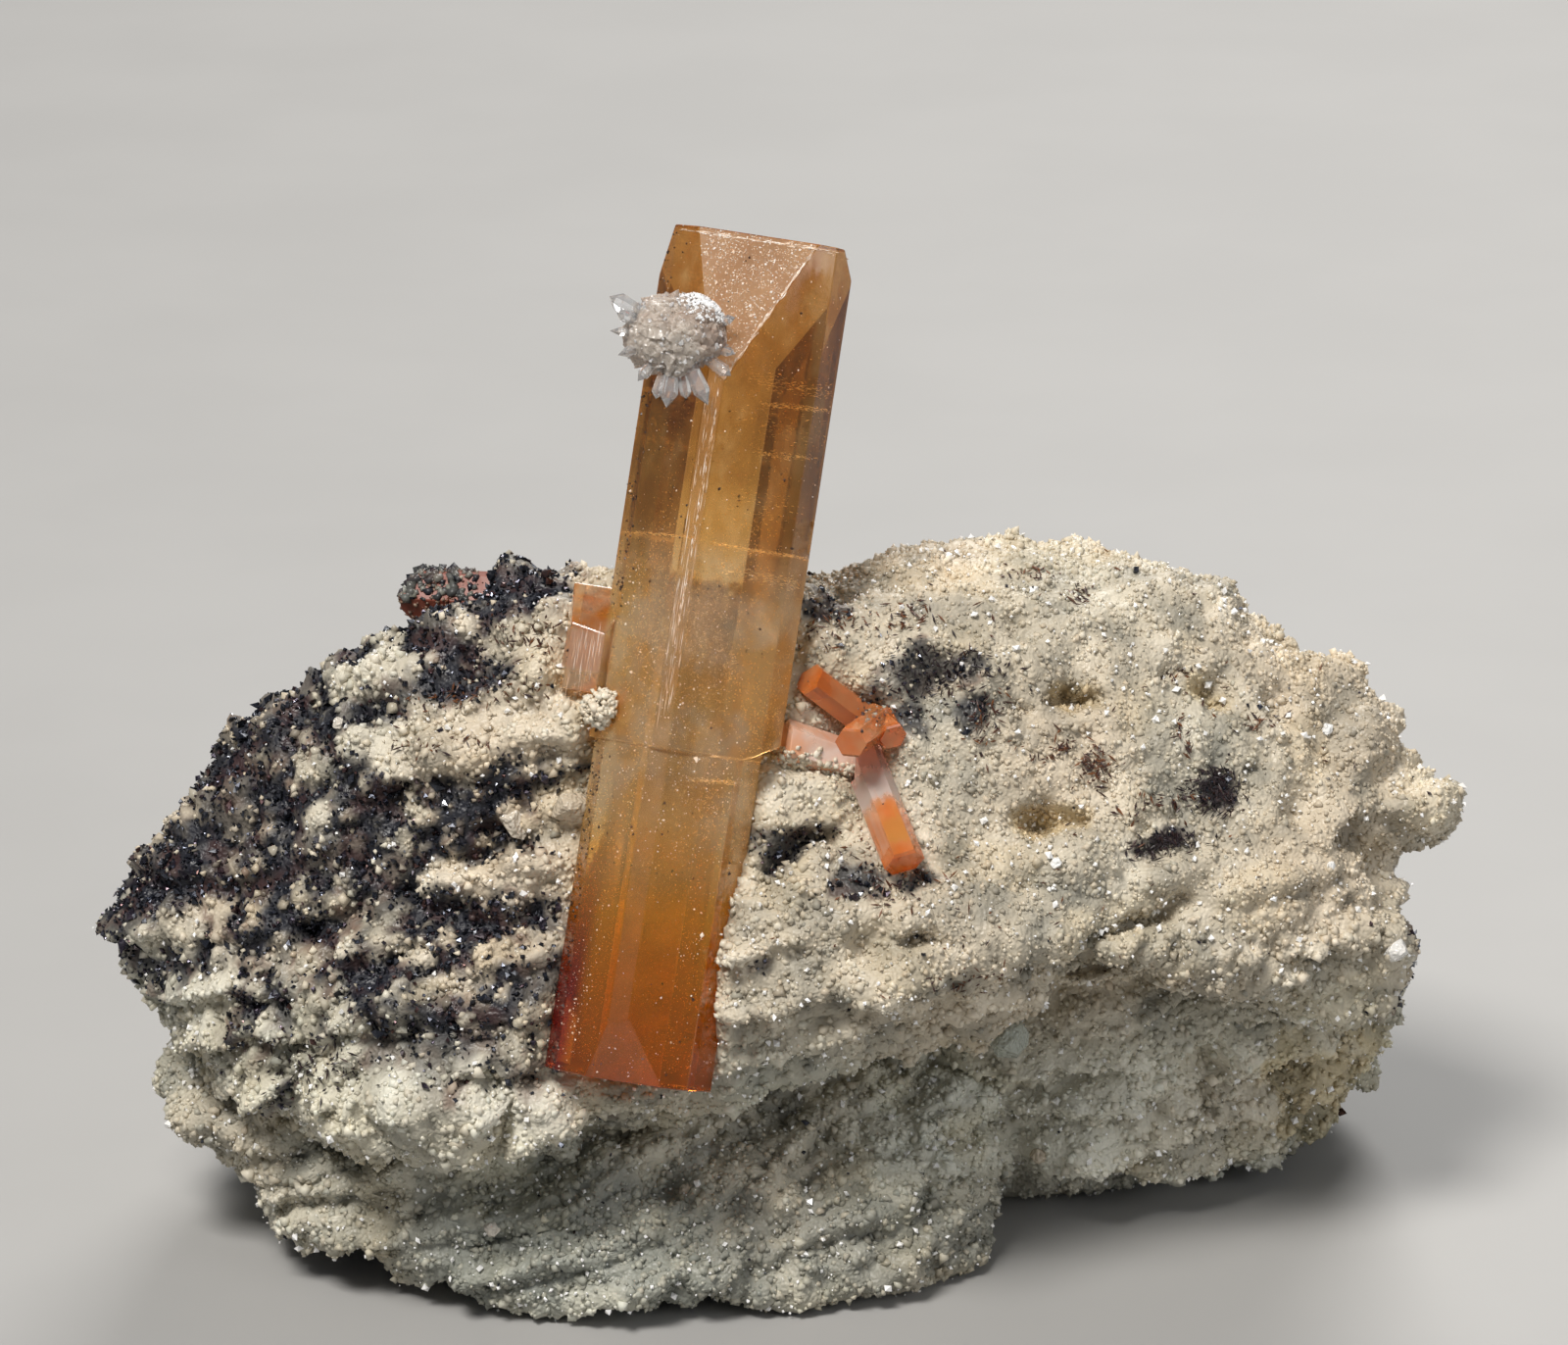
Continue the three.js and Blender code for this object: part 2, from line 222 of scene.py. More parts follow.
# Small grains: eight-sided chips, each with a square of the bake map that its faces share
chip = np.array([(1, 0, 0), (-1, 0, 0), (0, 1, 0), (0, -1, 0), (0, 0, 1), (0, 0, -1)]) * 0.5
chipFaces = [(0, 2, 4), (2, 1, 4), (1, 3, 4), (3, 0, 4), (2, 0, 5), (1, 2, 5), (3, 1, 5), (0, 3, 5)]
cellCorners = ((0.25, 0.25), (0.75, 0.25), (0.5, 0.75))


def chipKinds(count, rough):
    return chip[None] + draw.uniform(-rough, rough, (count, 6, 3))


def grainMesh(name, kinds, places, turns, sizes, fields):
    chosen = draw.integers(0, len(kinds), len(places))
    points, faces = placeCopies(kinds, chipFaces, chosen, places, turns, sizes)
    spread = {label: np.repeat(values, len(chip)) for label, values in fields.items()}
    mesh = meshFrom(name, points, faces, spread)
    side = math.ceil(math.sqrt(len(places)))
    number = np.repeat(np.arange(len(places)), 3 * len(chipFaces))
    cell = np.stack([number % side, number // side], 1)
    corner = np.tile(np.array(cellCorners), (len(faces), 1))
    layer = mesh.uv_layers.new(name="OFBake")
    layer.data.foreach_set("uv", ((cell + corner) / side).astype(np.float32).ravel())
    return mesh


# Scatter over a mesh
def surfaceOf(mesh):
    mesh.calc_loop_triangles()
    corners = np.empty(len(mesh.loop_triangles) * 3, np.int32)
    mesh.loop_triangles.foreach_get("vertices", corners)
    corners = corners.reshape(-1, 3)
    points, normals = readMesh(mesh)
    a, b, c = points[corners].transpose(1, 0, 2)
    cross = np.cross(b - a, c - a)
    area = np.linalg.norm(cross, axis=1) / 2
    flat = unit(cross + 1e-20)  # never divided by nothing
    return {"corners": corners, "area": area, "points": points, "normals": normals, "flat": flat}


def scatterOn(surface, count, weight, fields):  # by area and a weight at each point
    corners = surface["corners"]
    chance = surface["area"] * weight[corners].mean(1)
    chosen = corners[draw.choice(len(corners), count, p=chance / chance.sum())]
    share = draw.dirichlet((1, 1, 1), count)
    places = (surface["points"][chosen] * share[:, :, None]).sum(1)
    ways = unit((surface["normals"][chosen] * share[:, :, None]).sum(1) + 1e-9)
    return places, ways, {name: (v[chosen] * share).sum(1) for name, v in fields.items()}


sameWay = 0.98  # least cosine for a face to count as looking along a way


def scatterOnFacets(surface, count, chanceAt, facing=None):  # over flat faces, kept by a chance
    area = surface["area"]
    if facing is not None:
        area = area * (surface["flat"] @ facing > sameWay)
    picked = draw.choice(len(area), count, p=area / area.sum())
    share = draw.dirichlet((1, 1, 1), count)
    places = (surface["points"][surface["corners"][picked]] * share[:, :, None]).sum(1)
    ways = surface["flat"][picked]
    kept = draw.random(count) < chanceAt(places, ways)
    return places[kept], ways[kept]


def patchReach(spots, centre, halves, turn):  # 0 at a patch's centre, 1 on its rim
    angle = math.radians(turn)
    x, y = (spots - centre).T
    along = (x * math.cos(angle) + y * math.sin(angle)) / halves[0]
    across = (y * math.cos(angle) - x * math.sin(angle)) / halves[1]
    return np.hypot(along, across)


# Shader nodes
def addNode(tree, kind, inputs=None, **settings):
    node = tree.nodes.new("ShaderNode" + kind)
    for name, value in settings.items():
        setattr(node, name, value)
    for socket, value in (inputs or {}).items():
        feed(tree, node.inputs[socket], value)
    return node


def feed(tree, socket, value):
    if isinstance(value, bpy.types.NodeSocket):
        tree.links.new(value, socket)
    else:
        socket.default_value = value


def mixColours(tree, share, first, second, blend="MIX"):
    node = addNode(tree, "Mix", data_type="RGBA", blend_type=blend)
    for socket, value in zip((node.inputs[0], node.inputs[6], node.inputs[7]), (share, first, second)):
        feed(tree, socket, (*value, 1) if isinstance(value, tuple) else value)
    return node.outputs[2]


def maths(tree, operation, first, second=0.0, clamp=False):
    node = addNode(tree, "Math", {0: first, 1: second}, operation=operation, use_clamp=clamp)
    return node.outputs[0]


def between(tree, value, low, high, start=0.0, end=1.0):
    sockets = {"Value": value, "From Min": low, "From Max": high, "To Min": start, "To Max": end}
    return addNode(tree, "MapRange", sockets, interpolation_type="SMOOTHSTEP").outputs[0]


def ramp(tree, value, stops):
    node = addNode(tree, "ValToRGB", {"Fac": value})
    elements = node.color_ramp.elements
    for place, colour in stops[1:-1]:
        elements.new(place).color = (*colour, 1)
    for element, (place, colour) in ((elements[0], stops[0]), (elements[-1], stops[-1])):
        element.position = place
        element.color = (*colour, 1)
    return node.outputs["Color"]


def noise(tree, place, scale, detail=3.0, roughness=0.55):
    sockets = {"Vector": place, "Scale": scale, "Detail": detail, "Roughness": roughness}
    return addNode(tree, "TexNoise", sockets).outputs["Fac"]


def field(tree, name):
    return addNode(tree, "Attribute", attribute_name=name).outputs["Fac"]


def newMaterial(name, **sockets):
    material = bpy.data.materials.new(name)
    material.use_nodes = True
    tree = material.node_tree
    shader = tree.nodes["Principled BSDF"]
    for socket, value in sockets.items():
        shader.inputs[socket.replace("_", " ")].default_value = value
    place = addNode(tree, "TexCoord").outputs["Object"]
    return material, tree, shader, place


def newGroup(name, inputs, outputs):
    tree = bpy.data.node_groups.new(name, "ShaderNodeTree")
    for label, kind, default in inputs:
        socket = tree.interface.new_socket(label, in_out="INPUT", socket_type="NodeSocket" + kind)
        if default is not None:
            socket.default_value = default
    for label, kind in outputs:
        tree.interface.new_socket(label, in_out="OUTPUT", socket_type="NodeSocket" + kind)
    return tree, tree.nodes.new("NodeGroupInput").outputs, tree.nodes.new("NodeGroupOutput").inputs


def useGroup(tree, group, inputs):
    node = tree.nodes.new("ShaderNodeGroup")
    node.node_tree = group
    for socket, value in inputs.items():
        feed(tree, node.inputs[socket], value)
    return node.outputs


def setBump(tree, shader, height, strength, distance):
    bump = addNode(tree, "Bump", {"Height": height, "Strength": strength, "Distance": distance})
    tree.links.new(bump.outputs[0], shader.inputs["Normal"])


# Sugary rock tone: grey to white by grain, cool or warm, rusty where stained, dark where crusted
sugar = {
    "grey": (0.30, 0.29, 0.26),
    "cream": (0.56, 0.515, 0.44),
    "white": (0.79, 0.75, 0.68),
    "cool": (0.92, 0.98, 0.94),  # a tint that multiplies, as do the next two
    "warm": (1.0, 0.915, 0.79),
    "yellow": (0.98, 0.82, 0.46),
    "rust": (0.17, 0.055, 0.024),
    "crust": (0.012, 0.013, 0.020),
    "crustWarm": (0.045, 0.022, 0.022),
}


def sugarToneGroup():
    inputs = [("Place", "Vector", None), ("Tone", "Float", 0.5), ("Warmth", "Float", 0.5)]
    inputs += [(label, "Float", 0.0) for label in ("Stain", "Crust", "Gloss", "Yellow")]
    tree, given, made = newGroup("sugarTone", inputs, [("Colour", "Color"), ("Roughness", "Float")])
    clean = ramp(tree, given["Tone"], [(0.0, sugar["grey"]), (0.45, sugar["cream"]), (1.0, sugar["white"])])
    tint = mixColours(tree, given["Warmth"], sugar["cool"], sugar["warm"])
    clean = mixColours(tree, 1.0, clean, tint, "MULTIPLY")
    clean = mixColours(tree, given["Yellow"], clean, sugar["yellow"], "MULTIPLY")
    rusty = mixColours(tree, given["Stain"], clean, sugar["rust"])
    hue = between(tree, noise(tree, given["Place"], 900.0, 1.0), 0.45, 0.65)
    dark = mixColours(tree, hue, sugar["crust"], sugar["crustWarm"])
    tree.links.new(mixColours(tree, given["Crust"], rusty, dark), made["Colour"])
    sheen = between(tree, noise(tree, given["Place"], 2600.0, 0.0), 0.3, 0.7, 0.4, 0.65)
    wet = maths(tree, "MULTIPLY", given["Gloss"], -0.34)
    tree.links.new(maths(tree, "ADD", sheen, wet), made["Roughness"])
    return tree


# Fine crystalline relief, cells and dust, as a height for bump
def fineReliefGroup():
    inputs = [("Place", "Vector", None), ("Size", "Float", 3000.0)]
    tree, given, made = newGroup("fineRelief", inputs, [("Height", "Float")])
    cells = addNode(tree, "TexVoronoi", {"Vector": given["Place"], "Scale": given["Size"]})
    dust = noise(tree, given["Place"], maths(tree, "MULTIPLY", given["Size"], 1.7), 0.0)
    height = maths(tree, "ADD", maths(tree, "MULTIPLY", cells.outputs["Distance"], -0.8), dust)
    tree.links.new(height, made["Height"])
    return tree


# Growth lines along a crystal, how frosted its skin is, and how cloudy its body
def growthLinesGroup():
    inputs = [("Place", "Vector", None), ("Fineness", "Float", 1400.0), ("Stretch", "Vector", (1, 1, 0.03))]
    outputs = [("Height", "Float"), ("Frost", "Float"), ("Cloud", "Float")]
    tree, given, made = newGroup("growthLines", inputs, outputs)
    long = addNode(tree, "VectorMath", {0: given["Place"], 1: given["Stretch"]}, operation="MULTIPLY")
    lines = noise(tree, long.outputs[0], given["Fineness"], 2.0, 0.5)
    tree.links.new(lines, made["Height"])
    frost = noise(tree, given["Place"], maths(tree, "MULTIPLY", given["Fineness"], 0.6), 4.0, 0.6)
    tree.links.new(maths(tree, "MULTIPLY", frost, lines), made["Frost"])
    tree.links.new(noise(tree, given["Place"], 330.0, 4.0, 0.6), made["Cloud"])
    return tree


sugarTone = sugarToneGroup()
fineRelief = fineReliefGroup()
growthLines = growthLinesGroup()
print("shared node groups made")


sugarFields = ("Tone", "Warmth", "Stain", "Crust", "Gloss", "Yellow")


def sugarMaterial(name, relief=None):  # relief is its scale and height
    material, tree, shader, place = newMaterial(name, IOR=1.5)
    fields = {label: field(tree, label.lower()) for label in sugarFields}
    tone = useGroup(tree, sugarTone, {"Place": place, **fields})
    tree.links.new(tone["Colour"], shader.inputs["Base Color"])
    tree.links.new(tone["Roughness"], shader.inputs["Roughness"])
    if relief:
        scale, height = relief
        cells = useGroup(tree, fineRelief, {"Place": place, "Size": scale})["Height"]
        setBump(tree, shader, cells, 0.7, height)
    return material


def speckMaterial(name, stops, rough, glow=0.0):
    material, tree, shader, place = newMaterial(name, IOR=1.5, Emission_Strength=glow)
    mottle = noise(tree, place, 9000.0, 2.0)
    colour = ramp(tree, field(tree, "tone"), stops)
    mottled = mixColours(tree, between(tree, mottle, 0.35, 0.7, 0.0, 0.35), colour, stops[0][1])
    tree.links.new(mottled, shader.inputs["Base Color"])
    # painted light: the specks glow in their own colour
    if glow:
        tree.links.new(mottled, shader.inputs["Emission Color"])
    tree.links.new(between(tree, mottle, 0.3, 0.7, *rough), shader.inputs["Roughness"])
    return material


# Rock. Patches are a pixel centre, half sizes along and across in pixels, and a clockwise turn in degrees
rock = {
    "voxel": 0.225 * mm,
    "evenings": 3,
    "grain": (5200.0, 0.07 * mm),  # scale and height of the fine relief
    "broad": (3.4, 0.45),  # size and height in millimetres
    "pits": (2.9, 0.75),  # size and depth
    "knobs": (1.35, 0.5, 0, 0.72, 0.6),  # size, height, shift of the pattern, reach, and quieter by
    "buds": (0.66, 0.42, 40, 0.75, 0.4),
    "nubs": (0.42, 0.2, 70, 0.8, 0.2),
    "lipWaves": [(4.2, 0.5), (1.3, 0.16), (0.5, 0.08)],  # size in millimetres, and height in layers
    "clearing": 1.2,  # how far it draws back from the free end of the back crystal
    "held": (0.2, 0.7),  # millimetres from a crystal where the relief starts, and where it is full
    "socket": 0.6 * mm,  # the widest gap to a crystal that is closed
    "closed": 0.97,  # share of that gap
    "tone": (0.46, 0.36),  # its middle, and how uneven it is
    "thinner": (650, 720),  # pixel columns where the crust starts to thin, and is thinner
    "freeEnd": (520, 490),  # pixel columns where the back crystal's free end starts, and is clear
    "ledges": [  # thickness, depth and rise to the right
        (1.8, 1.25, math.radians(15)),
        (0.85, 0.5, math.radians(18)),
    ],
}
crustPatches = [
    ((530, 615), (58, 30), 0),
    ((455, 662), (34, 15), -35),
    ((440, 708), (112, 15), -8),
    ((368, 737), (34, 18), 0),
    ((358, 787), (28, 13), 0),
    ((290, 735), (75, 38), -38),
    ((245, 805), (44, 62), 15),
    ((325, 868), (62, 21), 15),
    ((395, 900), (64, 32), 20),
    ((495, 934), (102, 27), 5),
    ((386, 835), (26, 20), 0),
    ((458, 803), (26, 12), -8),
    ((497, 828), (15, 13), 0),
    ((614, 756), (13, 22), 10),
    ((568, 795), (38, 10), -16),
    ((150, 920), (19, 32), 0),
    ((207, 968), (14, 32), 18),
    ((252, 962), (15, 22), 0),
    ((254, 1030), (13, 34), -8),
    ((290, 1018), (12, 12), 0),
    ((566, 1000), (13, 34), 0),
    ((288, 1113), (9, 15), 0),
    ((190, 888), (40, 48), 25),
    ((945, 690), (52, 24), -10),
    ((918, 733), (26, 20), 0),
    ((985, 722), (14, 26), 20),
    ((800, 868), (38, 17), -8),
    ((836, 850), (22, 12), 0),
    ((868, 906), (30, 16), 0),
    ((935, 902), (19, 12), 0),
    ((840, 622), (32, 13), -12),
    ((1240, 806), (22, 20), 0),
    ((1186, 860), (31, 13), -12),
    ((770, 985), (13, 8), 0),
]
cleanPatches = [  # white ledges and lumps that the crust leaves free
    ((478, 752), (125, 32), -9),
    ((600, 735), (34, 26), -10),
    ((562, 692), (26, 24), 0),
    ((508, 892), (88, 22), -8),
    ((585, 822), (28, 27), 0),
    ((527, 836), (21, 21), 0),
    ((385, 700), (52, 15), -12),
    ((330, 832), (26, 16), 0),
    ((215, 1015), (26, 40), 20),
]
yellowPatches = [
    ((1345, 1100), (66, 66), 0),
    ((1100, 710), (34, 15), 0),
    ((1066, 836), (38, 18), -6),
    ((1235, 702), (26, 14), 20),
]
paintedLightAndShade = [  # painted light and shade: broad parts of the rock made lighter where light falls and darker where shade falls, with the change of tone
    ((720, 1265), (400, 62), 0, -0.4),
    ((1060, 1130), (230, 80), -14, 0.46),
    ((450, 1105), (150, 56), 4, 0.3),
]
bosses = [  # raised lumps, with their heights in millimetres
    ((598, 738), (46, 30), -15, 0.95),
    ((500, 757), (105, 24), -10, 0.5),
    ((452, 766), (30, 17), 0, 0.45),
    ((540, 746), (34, 18), -12, 0.5),
    ((562, 692), (26, 24), 0, 0.6),
    ((508, 898), (86, 24), -8, 0.6),
    ((468, 906), (26, 18), 0, 0.5),
    ((548, 884), (30, 17), 0, 0.5),
    ((470, 860), (30, 16), 0, 0.4),
    ((330, 1080), (46, 22), 0, 0.6),
    ((450, 1126), (145, 34), 3, 1.3),
    ((565, 1125), (34, 24), 0, 0.6),
    ((400, 1030), (36, 24), 0, 0.55),
    ((330, 830), (36, 22), 0, 0.5),
    ((390, 700), (50, 16), -12, 0.5),
    ((1110, 735), (40, 14), 0, 0.45),
    ((1390, 760), (32, 40), 0, 0.6),
    ((1440, 822), (36, 13), -6, 0.7),
    ((1410, 960), (26, 24), 0, 0.6),
    ((1200, 890), (60, 18), -14, 0.5),
    ((900, 1000), (60, 26), 0, 0.55),
    ((1080, 880), (70, 30), -8, 0.45),
    ((1300, 900), (70, 16), -14, 0.45),
]
hollows = [  # with their depths in millimetres
    ((316, 938), (15, 8), 0, 1.1),
    ((486, 1106), (24, 9), -6, 1.1),
    ((520, 1122), (13, 12), 0, 0.9),
    ((428, 1142), (18, 8), 0, 0.8),
    ((1068, 834), (40, 19), -6, 1.2),
    ((1100, 710), (36, 14), 0, 1.1),
    ((1235, 702), (26, 14), 20, 0.7),
    ((1375, 850), (22, 16), 0, 0.9),
    ((940, 960), (26, 12), 0, 0.9),
    ((835, 855), (30, 13), 0, 1.1),
    ((800, 872), (34, 14), -8, 0.9),
    ((1150, 945), (60, 9), -14, 1.0),
    ((1330, 975), (44, 9), -14, 0.9),
    ((1180, 930), (50, 9), -12, 0.8),
    ((1040, 715), (20, 7), -10, 0.6),
    ((1200, 690), (18, 6), -25, 0.5),
    ((1275, 785), (16, 6), -15, 0.5),
]


def evenedPoints(mesh, points, rounds):
    edges = np.empty(len(mesh.edges) * 2, np.int32)
    mesh.edges.foreach_get("vertices", edges)
    first, second = edges.reshape(-1, 2).T
    count = np.bincount(edges, minlength=len(points))[:, None]
    for _ in range(rounds):
        total = np.zeros_like(points)
        np.add.at(total, first, points[second])
        np.add.at(total, second, points[first])
        points = 0.5 * points + 0.5 * total / count
    return points


def remeshed(nodeName, voxel):
    body = bpy.data.objects.new("evening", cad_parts[nodeName].data.copy())
    scene.collection.objects.link(body)
    modifier = body.modifiers.new("voxels", "REMESH")
    modifier.mode = "VOXEL"
    modifier.voxel_size = voxel
    mesh = bpy.data.meshes.new_from_object(body.evaluated_get(bpy.context.evaluated_depsgraph_get()))
    bpy.data.objects.remove(body)
    return mesh


def layering(p, thickness, rise):  # sharp-lipped layers, 0 at a foot to 1 at a lip
    level = p[:, 2] * math.cos(rise) - p[:, 0] * math.sin(rise)
    level = level / thickness
    for size, height in rock["lipWaves"]:
        level = level + height * softNoise(p / size)
    part = level - np.floor(level)
    return smoothStep(0.0, 0.16, part) * (1 - part)


def raggedSpots(p, spots):  # pixels shifted unevenly, so that rims come out ragged
    return spots + 10 * np.stack([layeredNoise(p / 0.9 + shift, 2) for shift in (31, 47)], 1)


# Millimetres outwards, the knobs' and the ledges' share of it, and where the rock is calm
def rockRelief(p, spots, ragged, facing):
    size, height = rock["broad"]
    relief = height * layeredNoise(p / size, 2)
    calm = smoothStep(-1.0, 3.0, p[:, 0]) * smoothStep(11.5, 13.5, p[:, 2]) * facing
    warped = p + 0.25 * np.stack([softNoise(p / 0.9 + shift) for shift in (0, 7, 14)], 1)
    knobs = np.zeros(len(p))
    for kind in ("knobs", "buds", "nubs"):
        size, height, shift, reach, quiet = rock[kind]
        knobs += height * (1 - quiet * calm) * seedDomes(warped / size + shift, reach)
    size, depth = rock["pits"]
    away, number = nearestSeed(p / size + 90)
    relief -= depth * (number > 0.1) * np.clip(1 - (away / 0.36) ** 2, 0, 1)
    lower = smoothStep(17.5, 11.0, p[:, 2] + 0.12 * np.abs(p[:, 0]))
    uneven = 0.65 + 0.35 * softNoise(p / 3.0 + 5)
    lips = np.zeros(len(p))
    for thickness, depth, rise in rock["ledges"]:
        ledge = depth * (layering(p, thickness, rise) - 0.4) * (0.3 + 0.7 * lower)
        ledge = ledge * uneven * (1 - 0.85 * calm)
        relief += ledge
        lips += ledge
    for centre, halves, turn, height in bosses:
        relief += facing * height * np.clip(1 - patchReach(spots, centre, halves, turn) ** 2, 0, 1)
    for centre, halves, turn, depth in hollows:
        relief -= facing * depth * np.clip(1.1 - patchReach(ragged, centre, halves, turn) ** 2, 0, 1)
    return relief + knobs, knobs, lips, calm


def patchShare(patches, spots, wobble):  # 1 inside any of the patches
    share = np.zeros(len(spots))
    for centre, halves, turn in patches:
        reach = patchReach(spots, centre, halves, turn) + wobble
        share = np.maximum(share, 1 - smoothStep(0.72, 1.2, reach))
    return share


def crustShare(p, spots, facing, knobs):
    wobble = 0.32 * softNoise(p / 0.85) + 0.26 * softNoise(p / 0.36)
    dips = smoothStep(0.58, 0.3, knobs + 0.22 * softNoise(p / 0.5 + 8))
    front = patchShare(crustPatches, spots, wobble) * (0.8 + 0.2 * dips)
    slope = smoothStep(-5.0, -9.0, p[:, 0]) * smoothStep(7.5, 11.0, p[:, 2])
    front = np.maximum(front, slope * dips * smoothStep(-0.6, 0.02, softNoise(p / 1.7 + 3) + wobble))
    front *= 1 - 0.9 * patchShare(cleanPatches, spots, wobble)
    front *= 1 - 0.15 * smoothStep(*rock["thinner"], spots[:, 0])
    back = smoothStep(0.34, 0.5, layeredNoise(p / 5.2 + 31, 2) + 0.3 * wobble) * (0.4 + 0.6 * dips)
    facing = np.maximum(facing, slope)
    return np.clip(np.maximum(front * facing + back * (1 - facing), 0.05 * slope), 0, 1)


crystalNames = [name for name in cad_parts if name.startswith("topaz")]
crystalTrees = {name: treeOf(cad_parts[name].data) for name in crystalNames}


def gapTo(points, reach, names=crystalNames):  # distance and way to the nearest crystal, up to a reach
    gaps = np.full(len(points), reach)
    ways = np.zeros((len(points), 3))
    for name in names:
        for i, point in enumerate(points):
            place, _, _, away = crystalTrees[name].find_nearest(point, reach)
            if place is not None and away < gaps[i]:
                gaps[i] = away
                ways[i] = np.array(place) - point
    return gaps, ways


def makeRock():
    mesh = remeshed("matrix", rock["voxel"])
    points, _ = readMesh(mesh)
    points = evenedPoints(mesh, points, rock["evenings"])
    mesh.vertices.foreach_set("co", points.astype(np.float32).ravel())
    mesh.update()
    points, normals = readMesh(mesh)
    p = points / mm
    spots = pixelsOf(points)
    facing = smoothStep(-0.2, 0.2, -(normals @ ahead))
    gaps, ways = gapTo(points, 1.2 * mm)
    closing = ((normals * ways).sum(1) > 0.55 * gaps) & (gaps < rock["socket"])  # walls of the sockets
    hold = smoothStep(*rock["held"], gaps / mm) * ~closing
    resting = smoothStep(0.05, 0.8, p[:, 2])
    ragged = raggedSpots(p, spots)
    relief, knobs, lips, calm = rockRelief(p, spots, ragged, facing)
    beside = smoothStep(3.0, 1.0, gapTo(points, 3.0 * mm, ["topaz_back"])[0] / mm)
    beside *= smoothStep(*rock["freeEnd"], spots[:, 0])  # the back crystal's free end stands clear
    relief -= beside * np.maximum(relief, 0)
    crust = crustShare(p, ragged, facing, knobs)
    outwards = (relief * hold - rock["clearing"] * beside) * resting * mm
    moved = points + normals * outwards[:, None]
    moved[closing] += ways[closing] * rock["closed"]
    moved[:, 2] = np.maximum(moved[:, 2], 0)
    mesh.vertices.foreach_set("co", moved.astype(np.float32).ravel())
    mesh.update()
    mesh.shade_smooth()
    # painted shade: low down and underneath, the rock's tone is darker and its tint cooler
    under = smoothStep(11.5, 8.0, p[:, 2] + 0.1 * p[:, 0])
    middle, uneven = rock["tone"]
    # painted light and shade: raised knobs and ledge lips are lighter, dips and ledge feet darker
    tone = middle + uneven * layeredNoise(p / 1.1 + 9, 3) + 0.42 * (knobs - 0.36) + 0.3 * lips - 0.14 * under
    tone += 0.2 * patchShare(cleanPatches, spots, np.zeros(len(p))) * facing
    # painted light and shade, in broad patches
    for centre, halves, turn, change in paintedLightAndShade:
        tone += change * facing * smoothStep(1.25, 0.6, patchReach(ragged, centre, halves, turn))
    # the cooler tint underneath is painted shade
    warmth = 0.72 + 0.35 * softNoise(p / 4.5 + 23) - 0.45 * under
    near = smoothStep(0.35, 0.0, np.abs(crust - 0.4))
    stain = 0.55 * near * (softNoise(p / 0.6 + 60) > 0.15)
    fields = {"tone": tone, "warmth": warmth, "stain": stain, "crust": crust, "gloss": np.zeros(len(p))}
    yellow = 0.48 * facing * patchShare(yellowPatches, spots, 0.4 * layeredNoise(p / 0.9 + 31, 2))
    fields["yellow"] = np.maximum(yellow, 0.14 * smoothStep(0.1, 0.5, softNoise(p / 1.9 + 77)))
    fields["calm"] = calm
    fields = {label: np.clip(values, 0, 1) for label, values in fields.items()}
    addFields(mesh, fields)
    return mesh, fields


rockMesh, rockFields = makeRock()
addPiece("matrix_rock", rockMesh, sugarMaterial("sugaryRhyolite", rock["grain"]), "matrix")
rockSurface = surfaceOf(rockMesh)
rockTree = treeOf(rockMesh)
print("rock:", len(rockMesh.loop_triangles), "triangles")


# Sugary grains on the rock, in three pieces by size
sugarGrains = {
    "count": 58000,
    "size": 0.225 * mm,
    "spread": 0.34,
    "limits": (0.45, 2.2),  # least and greatest share of that size
    "form": (0.8, 1.25),  # how uneven a grain's three widths are
    "calm": 0.28,  # how much finer they are where the rock is calm
    "pieces": ("sugar_fine", "sugar_medium", "sugar_coarse"),
    "uneven": 0.13,  # of tone from grain to grain
    "stand": 0.02,  # share of its size that a grain's middle stands out
    "glossy": 0.18,  # share of grains with a clear face
}
room = {"reach": 0.5 * mm, "crystal": 0.42, "ground": 0.85}  # the last two are shares of a grain's size


def keepClear(places, sizes):  # leaves out grains that are too near a crystal or the ground
    gaps, _ = gapTo(places, room["reach"])
    return (gaps > room["crystal"] * sizes) & (places[:, 2] > room["ground"] * sizes)


def makeSugar():
    weight = (1 - 0.93 * rockFields["crust"]) * (1 + 0.5 * rockFields["calm"])
    places, ways, values = scatterOn(rockSurface, sugarGrains["count"], weight, rockFields)
    sizes = sugarGrains["size"] * np.exp(draw.normal(0, sugarGrains["spread"], len(places)))
    least, greatest = sugarGrains["limits"]
    sizes = np.clip(sizes, least * sugarGrains["size"], greatest * sugarGrains["size"])
    sizes *= 1 - sugarGrains["calm"] * values["calm"]
    kept = keepClear(places, sizes)
    places, ways, sizes = places[kept], ways[kept], sizes[kept]
    values = {name: v[kept] for name, v in values.items()}
    count = len(places)
    stretch = sizes[:, None] * draw.uniform(*sugarGrains["form"], (count, 3))
    places = places + ways * (sugarGrains["stand"] * sizes)[:, None]
    turns = randomTurns(count)
    fields = {
        "tone": values["tone"] + draw.normal(0.08, sugarGrains["uneven"], count),
        "warmth": values["warmth"] + draw.normal(0, 0.12, count),
        "stain": values["stain"] * draw.uniform(0, 1.2, count),
        "crust": values["crust"] * (draw.random(count) < 0.6) * draw.uniform(0.3, 1.0, count),
        "gloss": (draw.random(count) < sugarGrains["glossy"]) * draw.uniform(0.5, 1.0, count),
        "yellow": values["yellow"],
    }
    fields = {label: np.clip(v, 0, 1) for label, v in fields.items()}
    kinds = chipKinds(32, 0.13)
    material = sugarMaterial("sugarGrains")
    order = np.array_split(np.argsort(sizes, kind="stable"), len(sugarGrains["pieces"]))
    for name, chosen in zip(sugarGrains["pieces"], order):
        part = {label: v[chosen] for label, v in fields.items()}
        mesh = grainMesh(name, kinds, places[chosen], turns[chosen], stretch[chosen], part)
        mesh.shade_smooth()
        addPiece(name, mesh, material)
    print("sugar grains:", count)


